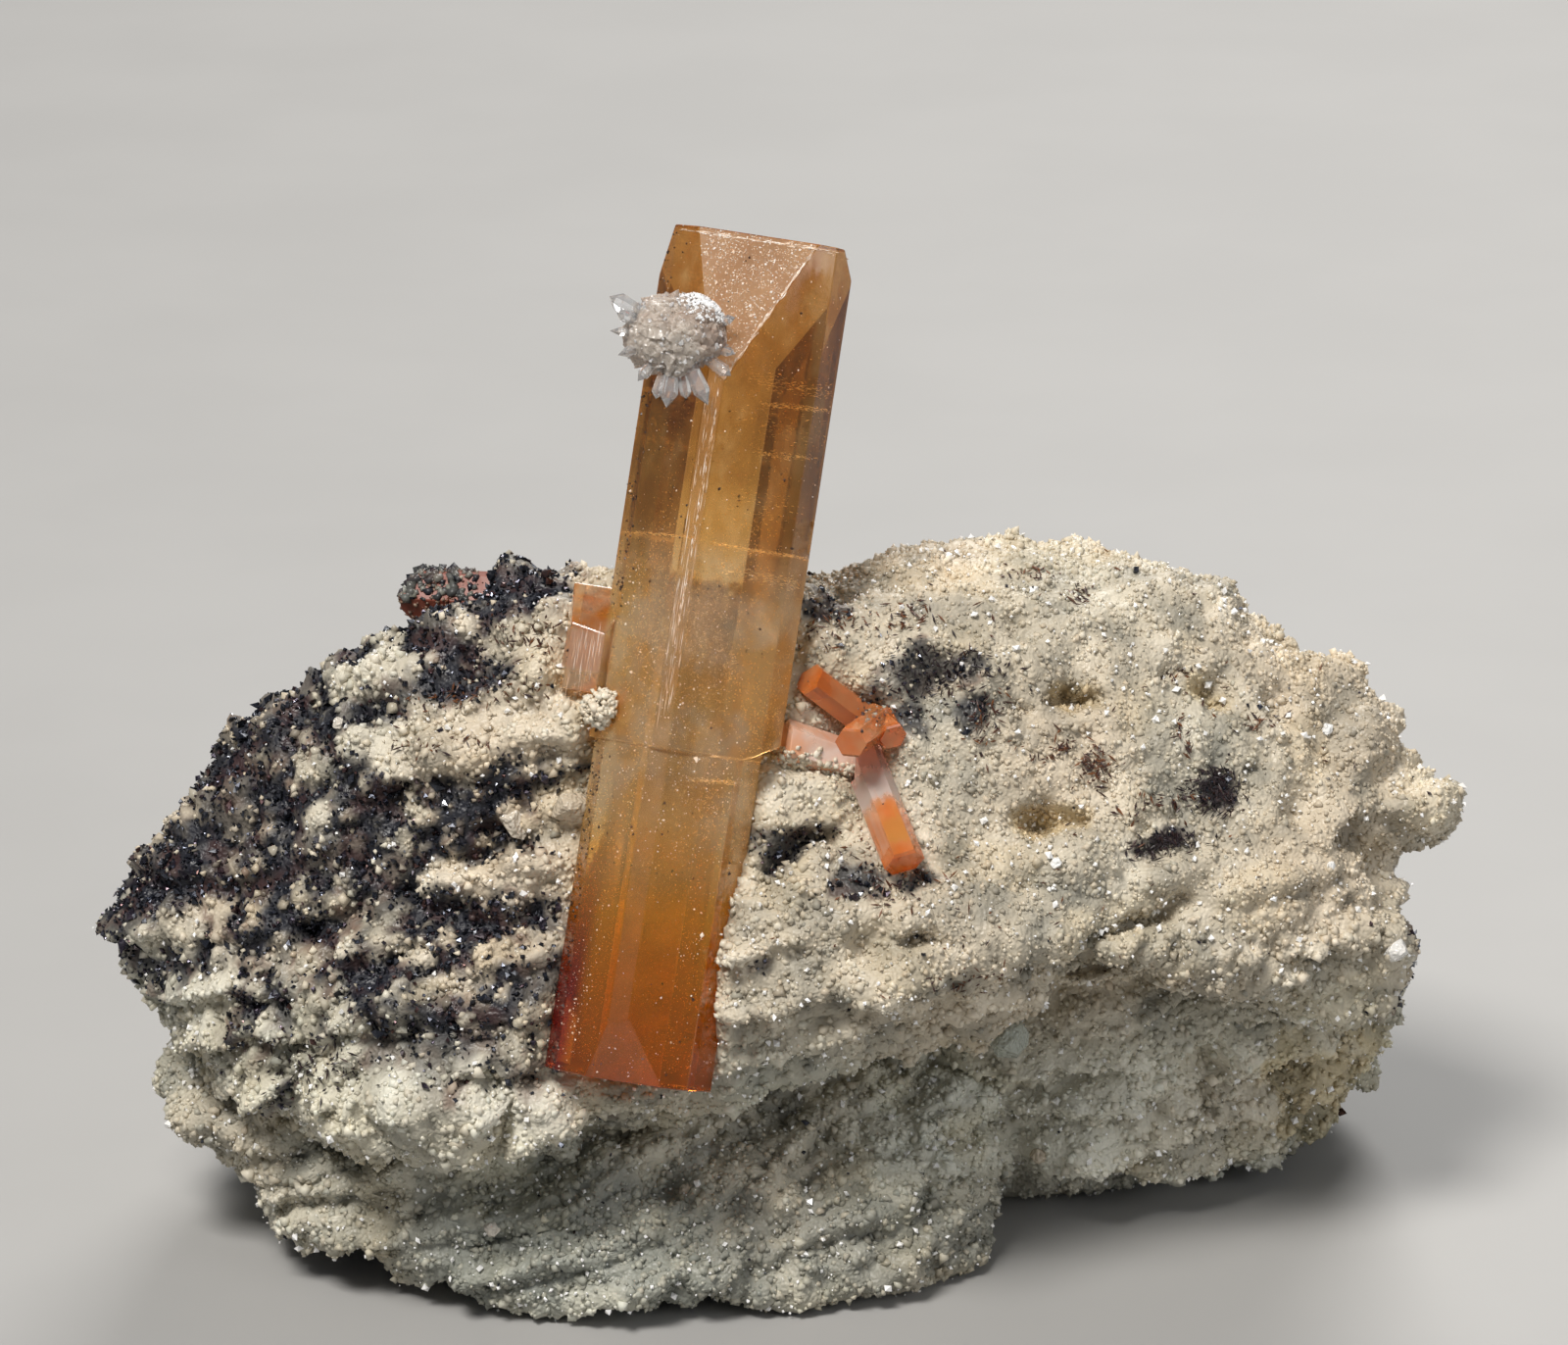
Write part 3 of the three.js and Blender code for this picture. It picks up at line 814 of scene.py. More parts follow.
# Dark crust: small glossy grains
oxide = {
    "count": 18000,
    "size": 0.13 * mm,
    "spread": 0.38,
    "stray": 0.003,  # chance of a grain off the crust
    "stand": 0.3,  # share of its size that a grain's middle stands out
    "stops": [
        (0.0, (0.016, 0.018, 0.028)),
        (0.55, (0.040, 0.047, 0.070)),
        (0.78, (0.052, 0.036, 0.058)),
        (0.87, (0.11, 0.045, 0.036)),
        (0.93, (0.20, 0.21, 0.25)),
        (1.0, (0.55, 0.57, 0.62)),
    ],
    "soot": (0.008, 0.008, 0.011),
}


def oxideMaterial():
    material, tree, shader, place = newMaterial("oxideCrust", Metallic=0.85, IOR=2.6)
    speckle = noise(tree, place, 6000.0, 2.0)
    sooty = between(tree, speckle, 0.4, 0.7, 0.0, 0.5)
    colour = mixColours(tree, sooty, ramp(tree, field(tree, "tone"), oxide["stops"]), oxide["soot"])
    tree.links.new(colour, shader.inputs["Base Color"])
    tree.links.new(between(tree, speckle, 0.35, 0.7, 0.14, 0.5), shader.inputs["Roughness"])
    return material


def makeOxide():
    weight = rockFields["crust"] ** 1.7 + oxide["stray"]
    places, ways, _ = scatterOn(rockSurface, oxide["count"], weight, {})
    sizes = oxide["size"] * np.exp(draw.normal(0, oxide["spread"], len(places)))
    kept = keepClear(places, sizes)
    places, ways, sizes = places[kept], ways[kept], sizes[kept]
    count = len(places)
    wide = draw.uniform(0.8, 1.4, (count, 2))
    stretch = sizes[:, None] * np.concatenate([wide, draw.uniform(0.35, 1.0, (count, 1))], 1)
    places = places + ways * (oxide["stand"] * sizes)[:, None]
    turns = randomTurns(count)
    kinds = chipKinds(16, 0.1)
    mesh = grainMesh("oxide_crust", kinds, places, turns, stretch, {"tone": draw.random(count)})
    addPiece("oxide_crust", mesh, oxideMaterial())
    print("oxide grains:", count)


# Bright glints: small clear faces that stand out of the sugar, glossy to catch real glints, and near-white
# as a painted highlight
glints = {
    "count": 9500,
    "size": 0.1 * mm,
    "spread": 0.5,
    "limits": (0.4, 3.0),  # least and greatest share of that size
    "form": (0.7, 1.3),
    "stops": [(0.0, (0.88, 0.87, 0.85)), (1.0, (0.99, 0.99, 0.98))],
    "rough": (0.04, 0.2),
}


def makeGlints():
    places, ways, _ = scatterOn(rockSurface, glints["count"], 1 - rockFields["crust"], {})
    sizes = np.exp(draw.normal(0, glints["spread"], (len(places), 1)))
    sizes = sizes * draw.uniform(*glints["form"], (len(places), 3))
    sizes = glints["size"] * np.clip(sizes, *glints["limits"])
    kept = keepClear(places, sizes.max(1))
    count = int(kept.sum())
    places = places[kept] + ways[kept] * glints["size"]
    fields = {"tone": draw.random(count)}
    kinds = chipKinds(12, 0.12)
    mesh = grainMesh("bright_glints", kinds, places, randomTurns(count), sizes[kept], fields)
    material = speckMaterial("brightGlints", glints["stops"], glints["rough"])
    addPiece("bright_glints", mesh, material)
    print("glints:", count)


makeSugar()
makeOxide()
makeGlints()


def settledMesh(name, shape):  # corners and faces in an order that is the same every run
    corners = sorted(shape.verts, key=lambda corner: tuple(corner.co))
    for i, corner in enumerate(corners):
        corner.index = i
    rings = []
    for face in shape.faces:
        ring = [corner.index for corner in face.verts]
        first = ring.index(min(ring))
        rings.append(ring[first:] + ring[:first])
    mesh = bpy.data.meshes.new(name)
    mesh.from_pydata([tuple(corner.co) for corner in corners], [], sorted(rings))
    return mesh


# Crystals taken over from the frame, with welded corners and finely chipped edges
chipping = {
    "weld": 0.002 * mm,
    "flat": math.radians(0.6),  # faces that turn less than this are joined
    "sharp": math.radians(12),  # edges that turn more than this are chipped
    "smallChip": 0.025 * mm,  # on the smaller crystals
}


def crystalMesh(nodeName, chamfer):
    shape = bmesh.new()
    shape.from_mesh(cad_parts[nodeName].data)
    bmesh.ops.remove_doubles(shape, verts=shape.verts, dist=chipping["weld"])
    bmesh.ops.dissolve_limit(shape, angle_limit=chipping["flat"], verts=shape.verts, edges=shape.edges)
    solid = [edge for edge in shape.edges if edge.is_manifold]
    sharp = [edge for edge in solid if edge.calc_face_angle() > chipping["sharp"]]
    bmesh.ops.bevel(shape, geom=sharp, offset=chamfer, segments=1, affect="EDGES", clamp_overlap=True)
    settled = settledMesh(nodeName, shape)
    shape.clear()
    shape.from_mesh(settled)
    bmesh.ops.triangulate(shape, faces=shape.faces)
    shape.to_mesh(settled)
    shape.free()
    settled.shade_flat()
    return settled


def crystalFrame(foot, head):  # local Z from foot to head, local X to the viewer's right
    zAxis = unit(head - foot)
    xAxis = unit(right - zAxis * (right @ zAxis))
    return np.stack([xAxis, np.cross(zAxis, xAxis), zAxis], 1)


tall = {
    "foot": (646, 1102, -4.2 * mm),  # pixel, and how far behind the front foot, as is the next
    "head": (777, 243, 5.0 * mm),
    "dome": (0, -4.8, 1.15),  # way of the head's sloping front face, in the crystal's own axes
    "band": (-0.1, -0.55, 0),  # way of the narrow face along the front
    "left": (-0.7, -0.4, 0),  # way of the narrow face along the left
}
tallFoot = seenAt(*tall["foot"])
tallHead = seenAt(*tall["head"])
tallTurn = crystalFrame(tallFoot, tallHead)
tallLength = float(np.linalg.norm(tallHead - tallFoot))
domeWay, bandWay, leftWay = (tallTurn @ unit(np.array(tall[face])) for face in ("dome", "band", "left"))


def alongCrystal(tree, place, foot, turn):  # crystal's own coordinates in metres
    away = addNode(tree, "VectorMath", {0: place, 1: tuple(foot)}, operation="SUBTRACT").outputs[0]
    parts = []
    for axis in turn.T:
        dot = addNode(tree, "VectorMath", {0: away, 1: tuple(axis)}, operation="DOT_PRODUCT")
        parts.append(dot.outputs["Value"])
    joined = addNode(tree, "CombineXYZ", dict(enumerate(parts)))
    return joined.outputs[0], parts


def facingMask(tree, way, least):  # 1 on faces that look along a way
    normal = addNode(tree, "NewGeometry").outputs["Normal"]
    dot = addNode(tree, "VectorMath", {0: normal, 1: tuple(way)}, operation="DOT_PRODUCT")
    return between(tree, dot.outputs["Value"], least, least + 0.01)


def absorb(tree, colour, density):
    volume = addNode(tree, "VolumeAbsorption", {"Color": (*colour, 1), "Density": density})
    tree.links.new(volume.outputs[0], tree.nodes["Material Output"].inputs["Volume"])


# The tall crystal
amber = {
    "stops": [  # from foot to head
        (0.00, (0.70, 0.20, 0.010)),
        (0.10, (0.90, 0.36, 0.015)),
        (0.20, (1.00, 0.54, 0.06)),
        (0.30, (0.98, 0.70, 0.28)),
        (0.38, (0.94, 0.62, 0.22)),
        (0.54, (0.92, 0.60, 0.20)),
        (0.64, (0.74, 0.42, 0.11)),
        (0.76, (0.47, 0.22, 0.04)),
        (1.00, (0.58, 0.24, 0.045)),
    ],
    "redEdge": (0.26, 0.030, 0.035),
    "stub": (0.96, 0.34, 0.05),
    "frosted": (0.86, 0.54, 0.34),
    "frostShares": (0.52, 0.25, 0.8),  # on the dome, the front band and the stub's face
    "depth": (0.97, 0.66, 0.24),  # colour of its absorption
    "density": 80.0,
    "clear": 0.85,
    "cloud": (1.0, 0.90, 0.64),
    "smoke": (0.30, 0.13, 0.025),
    "veil": (0.92, 0.62, 0.26),
    "chamfer": 0.03 * mm,
    "lowPart": (8.5 * mm, 2.0 * mm),  # heights where the red edge starts and is full
    "leftEdge": (-1.9 * mm, -2.5 * mm),  # across, the same for that edge
    "stubFrom": (-2.95 * mm, -3.1 * mm),  # across, where the stub starts
    "cloudPart": (6 * mm, 10 * mm, 15 * mm, 18 * mm),  # heights where cloud starts, is full, fades and ends
    "smokeFrom": (7 * mm, 11 * mm),
    "headFrom": (15 * mm, 18 * mm),
    "stubFrost": (12.6 * mm, 12.8 * mm, 13.8 * mm, 14.0 * mm),  # heights, as for the cloud
}


def amberMaterial():
    material, tree, shader, place = newMaterial("amberTopaz", IOR=1.62, Transmission_Weight=amber["clear"])
    own, (x, _, z) = alongCrystal(tree, place, tallFoot, tallTurn)
    lines = useGroup(tree, growthLines, {"Place": own, "Fineness": 1100.0, "Stretch": (1, 1, 0.02)})
    height = maths(tree, "DIVIDE", z, tallLength)
    sway = maths(tree, "MULTIPLY", maths(tree, "SUBTRACT", lines["Cloud"], 0.5), 0.16)
    zoned = ramp(tree, maths(tree, "ADD", height, sway), amber["stops"])
    low = between(tree, z, *amber["lowPart"])
    edge = between(tree, maths(tree, "ADD", x, maths(tree, "MULTIPLY", z, -0.05)), *amber["leftEdge"])
    zoned = mixColours(tree, maths(tree, "MULTIPLY", low, edge), zoned, amber["redEdge"])
    onStub = between(tree, x, *amber["stubFrom"])
    zoned = mixColours(tree, onStub, zoned, amber["stub"])
    start, full, fade, end = amber["cloudPart"]
    middle = maths(tree, "MULTIPLY", between(tree, z, end, fade), between(tree, z, start, full))
    cloudy = maths(tree, "MULTIPLY", between(tree, lines["Cloud"], 0.44, 0.58, 0.0, 0.85), middle)
    zoned = mixColours(tree, cloudy, zoned, amber["cloud"])
    upper = between(tree, z, *amber["smokeFrom"], 0.0, 0.4)
    upper = maths(tree, "ADD", upper, between(tree, z, *amber["headFrom"], 0.0, 0.6))
    long = addNode(tree, "VectorMath", {0: own, 1: (1, 1, 0.55)}, operation="MULTIPLY").outputs[0]
    mottle = noise(tree, long, 620.0, 4.0, 0.6)
    smoky = maths(tree, "MULTIPLY", between(tree, mottle, 0.48, 0.64, 0.0, 0.6), upper)
    zoned = mixColours(tree, smoky, zoned, amber["smoke"])
    veiled = maths(tree, "MULTIPLY", between(tree, mottle, 0.5, 0.34, 0.0, 0.55), upper)
    zoned = mixColours(tree, veiled, zoned, amber["veil"])
    dome = facingMask(tree, domeWay, 0.985)
    band = facingMask(tree, bandWay, 0.975)
    start, full, fade, end = amber["stubFrost"]
    stubFace = between(tree, z, end, fade)
    stubFace = maths(tree, "MULTIPLY", stubFace, between(tree, z, start, full))
    stubFace = maths(tree, "MULTIPLY", stubFace, onStub)
    onDome, onBand, onStubFace = amber["frostShares"]
    frosted = maths(tree, "MULTIPLY", dome, onDome)
    frosted = maths(tree, "ADD", frosted, maths(tree, "MULTIPLY", band, onBand))
    frosted = maths(tree, "ADD", frosted, maths(tree, "MULTIPLY", stubFace, onStubFace), True)
    zoned = mixColours(tree, frosted, zoned, amber["frosted"])
    tree.links.new(zoned, shader.inputs["Base Color"])
    haze = between(tree, lines["Frost"], 0.2, 0.42, 0.015, 0.07)
    rough = maths(tree, "ADD", haze, maths(tree, "MULTIPLY", middle, 0.10))
    rough = maths(tree, "ADD", rough, maths(tree, "MULTIPLY", frosted, 0.5), True)
    tree.links.new(rough, shader.inputs["Roughness"])
    setBump(tree, shader, lines["Height"], 0.12, 0.03 * mm)
    absorb(tree, amber["depth"], amber["density"])
    return material


prismMesh = crystalMesh("topaz_main", amber["chamfer"])
addPiece("topaz_prism", prismMesh, amberMaterial(), "topaz_main")
prismSurface = surfaceOf(prismMesh)


# Frost and dust on the tall crystal's faces, and pale chips along edges as painted highlights. Zones are
# patches with the share of tries that they keep
dust = {
    "tries": 40000,
    "size": 0.034 * mm,
    "spread": 0.45,
    "everywhere": 0.022,
    "domeGrains": 3600,
    "bandStreaks": 260,
    "streakSize": (0.015 * mm, 0.015 * mm, 0.75 * mm),
    "streaksFrom": 11.5 * mm,  # up the crystal
    "edges": [  # pixels at the ends of edges lined with pale chips as a painted highlight, and the chips on them
        ((742, 381), (830, 256), 110),
        ((695, 234), (855, 257), 120),
        ((692, 640), (733, 400), 60),
    ],
    "highlightSize": (0.03 * mm, 0.03 * mm, 0.26 * mm),
    "zones": [
        ((731, 794), (46, 14), 4, 0.55),
        ((690, 770), (75, 130), 0, 0.3),
        ((594, 1008), (96, 13), 102, 0.32),
        ((660, 1075), (80, 40), 0, 0.08),
        ((645, 605), (10, 34), 8, 0.5),
        ((700, 967), (30, 14), -30, 0.3),
    ],
    "stops": [(0.0, (0.66, 0.42, 0.26)), (0.5, (0.88, 0.72, 0.56)), (1.0, (0.96, 0.94, 0.90))],
    "rough": (0.1, 0.5),
}
darkSpecks = {
    "tries": 9000,
    "size": 0.075 * mm,
    "everywhere": 0.02,
    "leftFace": 0.85,
    "stops": [(0.0, (0.012, 0.010, 0.009)), (0.6, (0.05, 0.022, 0.012)), (1.0, (0.14, 0.06, 0.025))],
    "rough": (0.3, 0.6),
}


def makeDustAndHighlights():
    def paleChance(places, ways):
        chance = np.full(len(places), dust["everywhere"])
        seen = ways @ ahead < 0
        spots = pixelsOf(places)
        for centre, halves, turn, share in dust["zones"]:
            reach = patchReach(spots, centre, halves, turn)
            chance = np.maximum(chance, seen * share * np.clip(1.3 - reach, 0, 1))
        return chance

    def domeChance(places, ways):
        return 0.75 + 0.25 * softNoise(places / (0.5 * mm))

    def bandChance(places, ways):
        return ((places - tallFoot) @ tallTurn[:, 2] > dust["streaksFrom"]) * 1.0

    scattered = [
        scatterOnFacets(prismSurface, dust["tries"], paleChance),
        scatterOnFacets(prismSurface, dust["domeGrains"], domeChance, domeWay),
        scatterOnFacets(prismSurface, dust["bandStreaks"], bandChance, bandWay),
    ]
    # pale chips along the listed edges: painted highlights
    highlightTurns = []
    for start, end, count in dust["edges"]:
        share = draw.random((count, 1))
        spots = np.array(start) * (1 - share) + np.array(end) * share + draw.normal(0, 0.7, (count, 2))
        scattered.append(frontsOf(crystalTrees["topaz_main"], spots)[:2])
        ends = frontsOf(crystalTrees["topaz_main"], (start, end))[0]
        highlightTurns.append(standingTurns(np.tile(unit(ends[1] - ends[0]), (len(scattered[-1][0]), 1)), 0.05))
    highlightTurns = np.concatenate(highlightTurns)
    places, ways = (np.concatenate(column) for column in zip(*scattered))
    count = len(places)
    sizes = dust["size"] * np.exp(draw.normal(0, dust["spread"], (count, 1)))
    sizes = sizes * draw.uniform(0.7, 1.3, (count, 3))
    turns = standingTurns(ways, 0.3)
    # the pale chips that paint highlights along the edges
    chips = slice(count - len(highlightTurns), count)
    turns[chips] = highlightTurns
    sizes[chips] = np.array(dust["highlightSize"]) * draw.uniform(0.4, 1.6, (len(highlightTurns), 3))
    streaks = slice(chips.start - len(scattered[2][0]), chips.start)
    turns[streaks] = tallTurn
    sizes[streaks] = np.array(dust["streakSize"]) * draw.uniform(0.4, 1.6, (len(scattered[2][0]), 3))
    kinds = chipKinds(12, 0.12)
    mesh = grainMesh("crystal_dust_and_highlights", kinds, places, turns, sizes, {"tone": draw.random(count)})
    material = speckMaterial("paleDustAndHighlights", dust["stops"], dust["rough"])
    addPiece("crystal_dust_and_highlights", mesh, material)

    def darkChance(places, ways):
        return np.where(ways @ leftWay > 0.97, darkSpecks["leftFace"], darkSpecks["everywhere"])

    places, ways = scatterOnFacets(prismSurface, darkSpecks["tries"], darkChance)
    count = len(places)
    sizes = darkSpecks["size"] * draw.uniform(0.4, 1.6, (count, 1)) * draw.uniform(0.6, 1.4, (count, 3))
    fields = {"tone": draw.random(count)}
    kinds = chipKinds(12, 0.12)
    mesh = grainMesh("dark_specks", kinds, places, standingTurns(ways, 0.4), sizes, fields)
    material = speckMaterial("darkSpecks", darkSpecks["stops"], darkSpecks["rough"])
    addPiece("dark_specks", mesh, material)
    print("dust and specks made")


# What the tall crystal holds: haze, flat cracks across it, and reddish dust low on its left
inside = {
    "haze": 44000,
    "hazeSize": 0.034 * mm,
    "hazeForm": ((0.6, 0.6, 0.3), (1.4, 1.4, 0.9)),  # least and greatest share of that, by axis
    "hazeBox": ((-3.0, -2.4, 5.5), (3.0, 2.4, 26.0)),  # corners in the crystal's own millimetres
    "glowBox": ((-2.8, -2.4, 0.4), (2.8, 2.4, 9.5)),
    "redBox": ((-2.9, -2.0, 0.4), (-1.6, 1.0, 6.8)),
    "cracks": [  # pixels along the front, from and to, the flakes, and how far they stray in millimetres
        ((654, 543), (708, 548), 260, 0.03),
        ((722, 553), (818, 569), 420, 0.03),
        ((771, 411), (843, 417), 300, 0.04),
        ((760, 384), (845, 399), 300, 0.14),
        ((767, 461), (820, 466), 150, 0.05),
        ((728, 578), (806, 596), 320, 0.12),
        ((745, 425), (830, 440), 140, 0.3),
        ((735, 500), (800, 520), 140, 0.4),
        ((700, 795), (770, 800), 240, 0.05),
    ],
    "crackDepth": 1.9 * mm,
    "crackSize": 0.11 * mm,
    "crackForm": ((0.4, 0.4, 0.04), (1.7, 1.7, 0.1)),
    "red": 1800,
    "redSize": 0.05 * mm,
    "glow": 8000,
    "glowSize": 0.026 * mm,
    "stops": [
        (0.0, (0.20, 0.022, 0.012)),
        (0.25, (0.72, 0.27, 0.03)),
        (0.6, (0.90, 0.60, 0.25)),
        (1.0, (0.98, 0.84, 0.56)),
    ],
    "rough": (0.15, 0.4),
    "margin": 0.12 * mm,
    "paintedGlow": 0.42,  # painted light: the flakes glow by emission, standing in for the light that reaches them through the crystal
}


def withinCrystal(points, margin):
    tree = crystalTrees["topaz_main"]
    kept = np.zeros(len(points), bool)
    for i, point in enumerate(points):
        place, way, _, _ = tree.find_nearest(point)
        kept[i] = (Vector(point) - place).dot(way) < -margin
    return kept


def makeInside():
    parts = []  # places, turns, sizes and tones

    def addFlakes(own, sizes, tones):
        places = tallFoot + own * mm @ tallTurn.T
        turns = randomTurns(len(own))
        parts.append((places, turns, sizes, draw.uniform(*tones, len(own))))

    own = draw.uniform(*inside["hazeBox"], (inside["haze"], 3))
    thick = smoothStep(20.5, 14.0, own[:, 2]) * smoothStep(5.5, 9.5, own[:, 2])
    thick = np.maximum(thick, 0.12 * smoothStep(26.0, 23.0, own[:, 2]) * smoothStep(17.0, 20.0, own[:, 2]))
    clumps = 0.5 + 0.5 * layeredNoise(own / (1.1, 1.1, 2.2) + 50, 2)
    own = own[draw.random(len(own)) < thick * smoothStep(0.3, 0.75, clumps)]
    sizes = inside["hazeSize"] * draw.uniform(0.5, 1.5, (len(own), 1))
    addFlakes(own, sizes * draw.uniform(*inside["hazeForm"], own.shape), (0.45, 1.0))
    for start, end, count, stray in inside["cracks"]:
        share = draw.random((count, 1))
        spots = np.array(start) * (1 - share) + np.array(end) * share
        faces = np.array([frontOf(crystalTrees["topaz_main"], *spot)[0] for spot in spots])
        deep = inside["crackDepth"] * draw.random((count, 1)) ** 1.5
        faces += tallTurn[:, 1] * deep + tallTurn[:, 2] * draw.normal(0, stray * mm, (count, 1))
        axis = np.tile(tallTurn[:, 2], (count, 1))
        sizes = inside["crackSize"] * draw.uniform(*inside["crackForm"], (count, 3))
        parts.append((faces, standingTurns(axis, 0.12), sizes, draw.uniform(0.55, 1.0, count)))
    own = draw.uniform(*inside["glowBox"], (inside["glow"], 3))
    own = own[draw.random(len(own)) < smoothStep(9.5, 6.0, own[:, 2])]
    addFlakes(own, inside["glowSize"] * draw.uniform(0.4, 1.5, own.shape), (0.2, 0.4))
    own = draw.uniform(*inside["redBox"], (inside["red"], 3))
    own = own[own[:, 0] < -1.95 + 0.03 * own[:, 2] + draw.normal(0, 0.2, len(own))]
    addFlakes(own, inside["redSize"] * draw.uniform(0.4, 1.5, own.shape), (0.0, 0.18))
    places, turns, sizes, tones = (np.concatenate(column) for column in zip(*parts))
    kept = withinCrystal(places, inside["margin"])
    places, turns, sizes, tones = places[kept], turns[kept], sizes[kept], tones[kept]
    mesh = grainMesh("inner_flakes", chipKinds(12, 0.1), places, turns, sizes, {"tone": tones})
    material = speckMaterial("goldenFlakes", inside["stops"], inside["rough"], inside["paintedGlow"])
    addPiece("inner_flakes", mesh, material)
    print("flakes inside:", kept.sum())


makeDustAndHighlights()
makeInside()


# The smaller topaz crystals
smallTopaz = {
    "topaz_back": {
        "name": "dusty_red_topaz",
        "slot": "red_topaz",
        "colour": (0.34, 0.085, 0.05),
        "pale": (0.40, 0.15, 0.11),
        "clear": 0.35,
        "rough": (0.35, 0.65),
        "density": 160.0,
        "shine": 0.1,
    },
    "topaz_plate": {
        "name": "pink_topaz_plate",
        "slot": "pink_topaz",
        "colour": (1.0, 0.50, 0.28),
        "pale": (1.0, 0.80, 0.68),
        "clear": 0.3,
        "rough": (0.12, 0.4),
        "density": 40.0,
        "shine": 0.5,
    },
    "topaz_spray": {
        "name": "orange_topaz_spray",
        "slot": "orange_topaz",
        "colour": (0.98, 0.25, 0.03),
        "pale": (1.0, 0.45, 0.17),
        "clear": 0.66,
        "rough": (0.04, 0.2),
        "density": 80.0,
        "shine": 0.5,
    },
}
longSpray = {  # the long crystal of the spray, in millimetres from the front foot's mark
    "foot": (2.331, 1.330, 19.026),
    "head": (3.829, -2.357, 16.256),
    "reach": (0.76 * mm, 0.88 * mm),  # from its axis, full to none
    "zones": [  # shares of its length where a colour starts, is full, starts to fade and ends
        ((-0.1, 0.0, 0.28, 0.44), (0.90, 0.52, 0.40), 0.1),
        ((0.26, 0.38, 0.50, 0.62), (0.96, 0.84, 0.75), 0.4),
        ((0.64, 0.76, 0.88, 0.95), (0.92, 0.44, 0.10), 0.0),
    ],
    "window": 0.34 * mm,  # half width of the golden window, with paler streaks beside it
    "streak": (1.0, 0.60, 0.38),
    "uneven": 2.0 * mm,
}


def longSprayLook(tree, place, colour, rough):  # pink at its root, then frosted, then clear with pale edges
    foot, head = (np.array(viewer["frontFoot"]) + np.array(longSpray[end]) * mm for end in ("foot", "head"))
    own, (x, y, z) = alongCrystal(tree, place, foot, crystalFrame(foot, head))
    length = float(np.linalg.norm(head - foot))
    flat = addNode(tree, "CombineXYZ", {0: x, 1: y}).outputs[0]
    beside = addNode(tree, "VectorMath", {0: flat}, operation="LENGTH").outputs["Value"]
    near = between(tree, beside, *longSpray["reach"][::-1])
    middle = between(tree, maths(tree, "ABSOLUTE", x), 1.2 * longSpray["window"], 0.8 * longSpray["window"])
    lines = useGroup(tree, growthLines, {"Place": own, "Fineness": 2600.0, "Stretch": (1, 1, 0.05)})
    uneven = maths(tree, "MULTIPLY", maths(tree, "SUBTRACT", lines["Frost"], 0.25), longSpray["uneven"])
    z = maths(tree, "ADD", z, uneven)
    streaks = maths(tree, "MULTIPLY", between(tree, lines["Height"], 0.38, 0.6, 0.2, 0.9), near)
    streaks = maths(tree, "MULTIPLY", streaks, maths(tree, "SUBTRACT", 1.0, middle))
    streaks = maths(tree, "MULTIPLY", streaks, between(tree, z, 0.96 * length, 0.9 * length))
    colour = mixColours(tree, streaks, colour, longSpray["streak"])
    for (low, full, fade, end), tint, frost in longSpray["zones"]:
        share = between(tree, z, low * length, full * length)
        share = maths(tree, "MULTIPLY", share, between(tree, z, end * length, fade * length))
        share = maths(tree, "MULTIPLY", share, near if frost else middle)
        colour = mixColours(tree, share, colour, tint)
        rough = maths(tree, "ADD", rough, maths(tree, "MULTIPLY", share, frost), True)
    return colour, rough


def smallTopazMaterial(look):
    material, tree, shader, place = newMaterial(look["slot"], IOR=1.62, Transmission_Weight=look["clear"])
    shader.inputs["Specular IOR Level"].default_value = look["shine"]
    lines = useGroup(tree, growthLines, {"Place": place, "Fineness": 2200.0, "Stretch": (1, 1, 0.4)})
    colour = mixColours(tree, between(tree, lines["Cloud"], 0.42, 0.64), look["colour"], look["pale"])
    rough = between(tree, lines["Frost"], 0.15, 0.45, *look["rough"])
    if look["slot"] == "orange_topaz":
        colour, rough = longSprayLook(tree, place, colour, rough)
    tree.links.new(colour, shader.inputs["Base Color"])
    tree.links.new(rough, shader.inputs["Roughness"])
    setBump(tree, shader, lines["Height"], 0.2, 0.03 * mm)
    absorb(tree, look["colour"], look["density"])
    return material


smallMeshes = {}
for node, look in smallTopaz.items():
    smallMeshes[node] = crystalMesh(node, chipping["smallChip"])
    addPiece(look["name"], smallMeshes[node], smallTopazMaterial(look), node)
print("topaz crystals made")


# Grains that creep over the crystals: dark knobs and red dust on the back one, sugar on the plate and spray,
# and a white knob that leans on the tall one
leaningKnob = {
    "pixel": (614, 722),
    "raised": 0.5 * mm,
    "halves": (0.62 * mm, 0.5 * mm, 0.66 * mm),
    "grains": 640,
    "large": 8,  # larger grains in its middle
    "largeAt": 0.2 * mm,
}
creepingPlaces = {  # pixels
    "knobs": (492, 470),  # columns where they start and are full, as is the next
    "red": (500, 470),
    "plate": (752, 785),  # rows, the same
    "plateSlope": (0.16, 800),  # how those rows rise, and the column that they are given at
    "sprayRoot": ((893, 722), (20, 18), 0),
}
creeping = {  # tries, 0 where places are given, then size, and the middle and spread of each field
    "darkKnobs": (1800, 0.27 * mm, {"tone": (0.4, 0.2), "crust": (0.86, 0.16), "gloss": (0.3, 0.3)}),
    "redDust": (1500, 0.13 * mm, {
        "tone": (0.3, 0.2), "warmth": (1, 0.1), "stain": (0.65, 0.2), "crust": (0.2, 0.2),
    }),
    "plateSugar": (900, 0.2 * mm, {"tone": (0.7, 0.15), "warmth": (0.7, 0.2), "gloss": (0.2, 0.3)}),
    "sprayDust": (1500, 0.1 * mm, {"tone": (0.4, 0.3), "stain": (0.4, 0.4), "crust": (0.4, 0.4)}),
    "knobGrains": (0, 0.2 * mm, {"tone": (1.0, 0.1), "warmth": (0.8, 0.2), "gloss": (0.2, 0.3)}),
    "largeGrains": (0, 0.6 * mm, {"tone": (1.0, 0.05), "warmth": (0.8, 0.1)}),
}


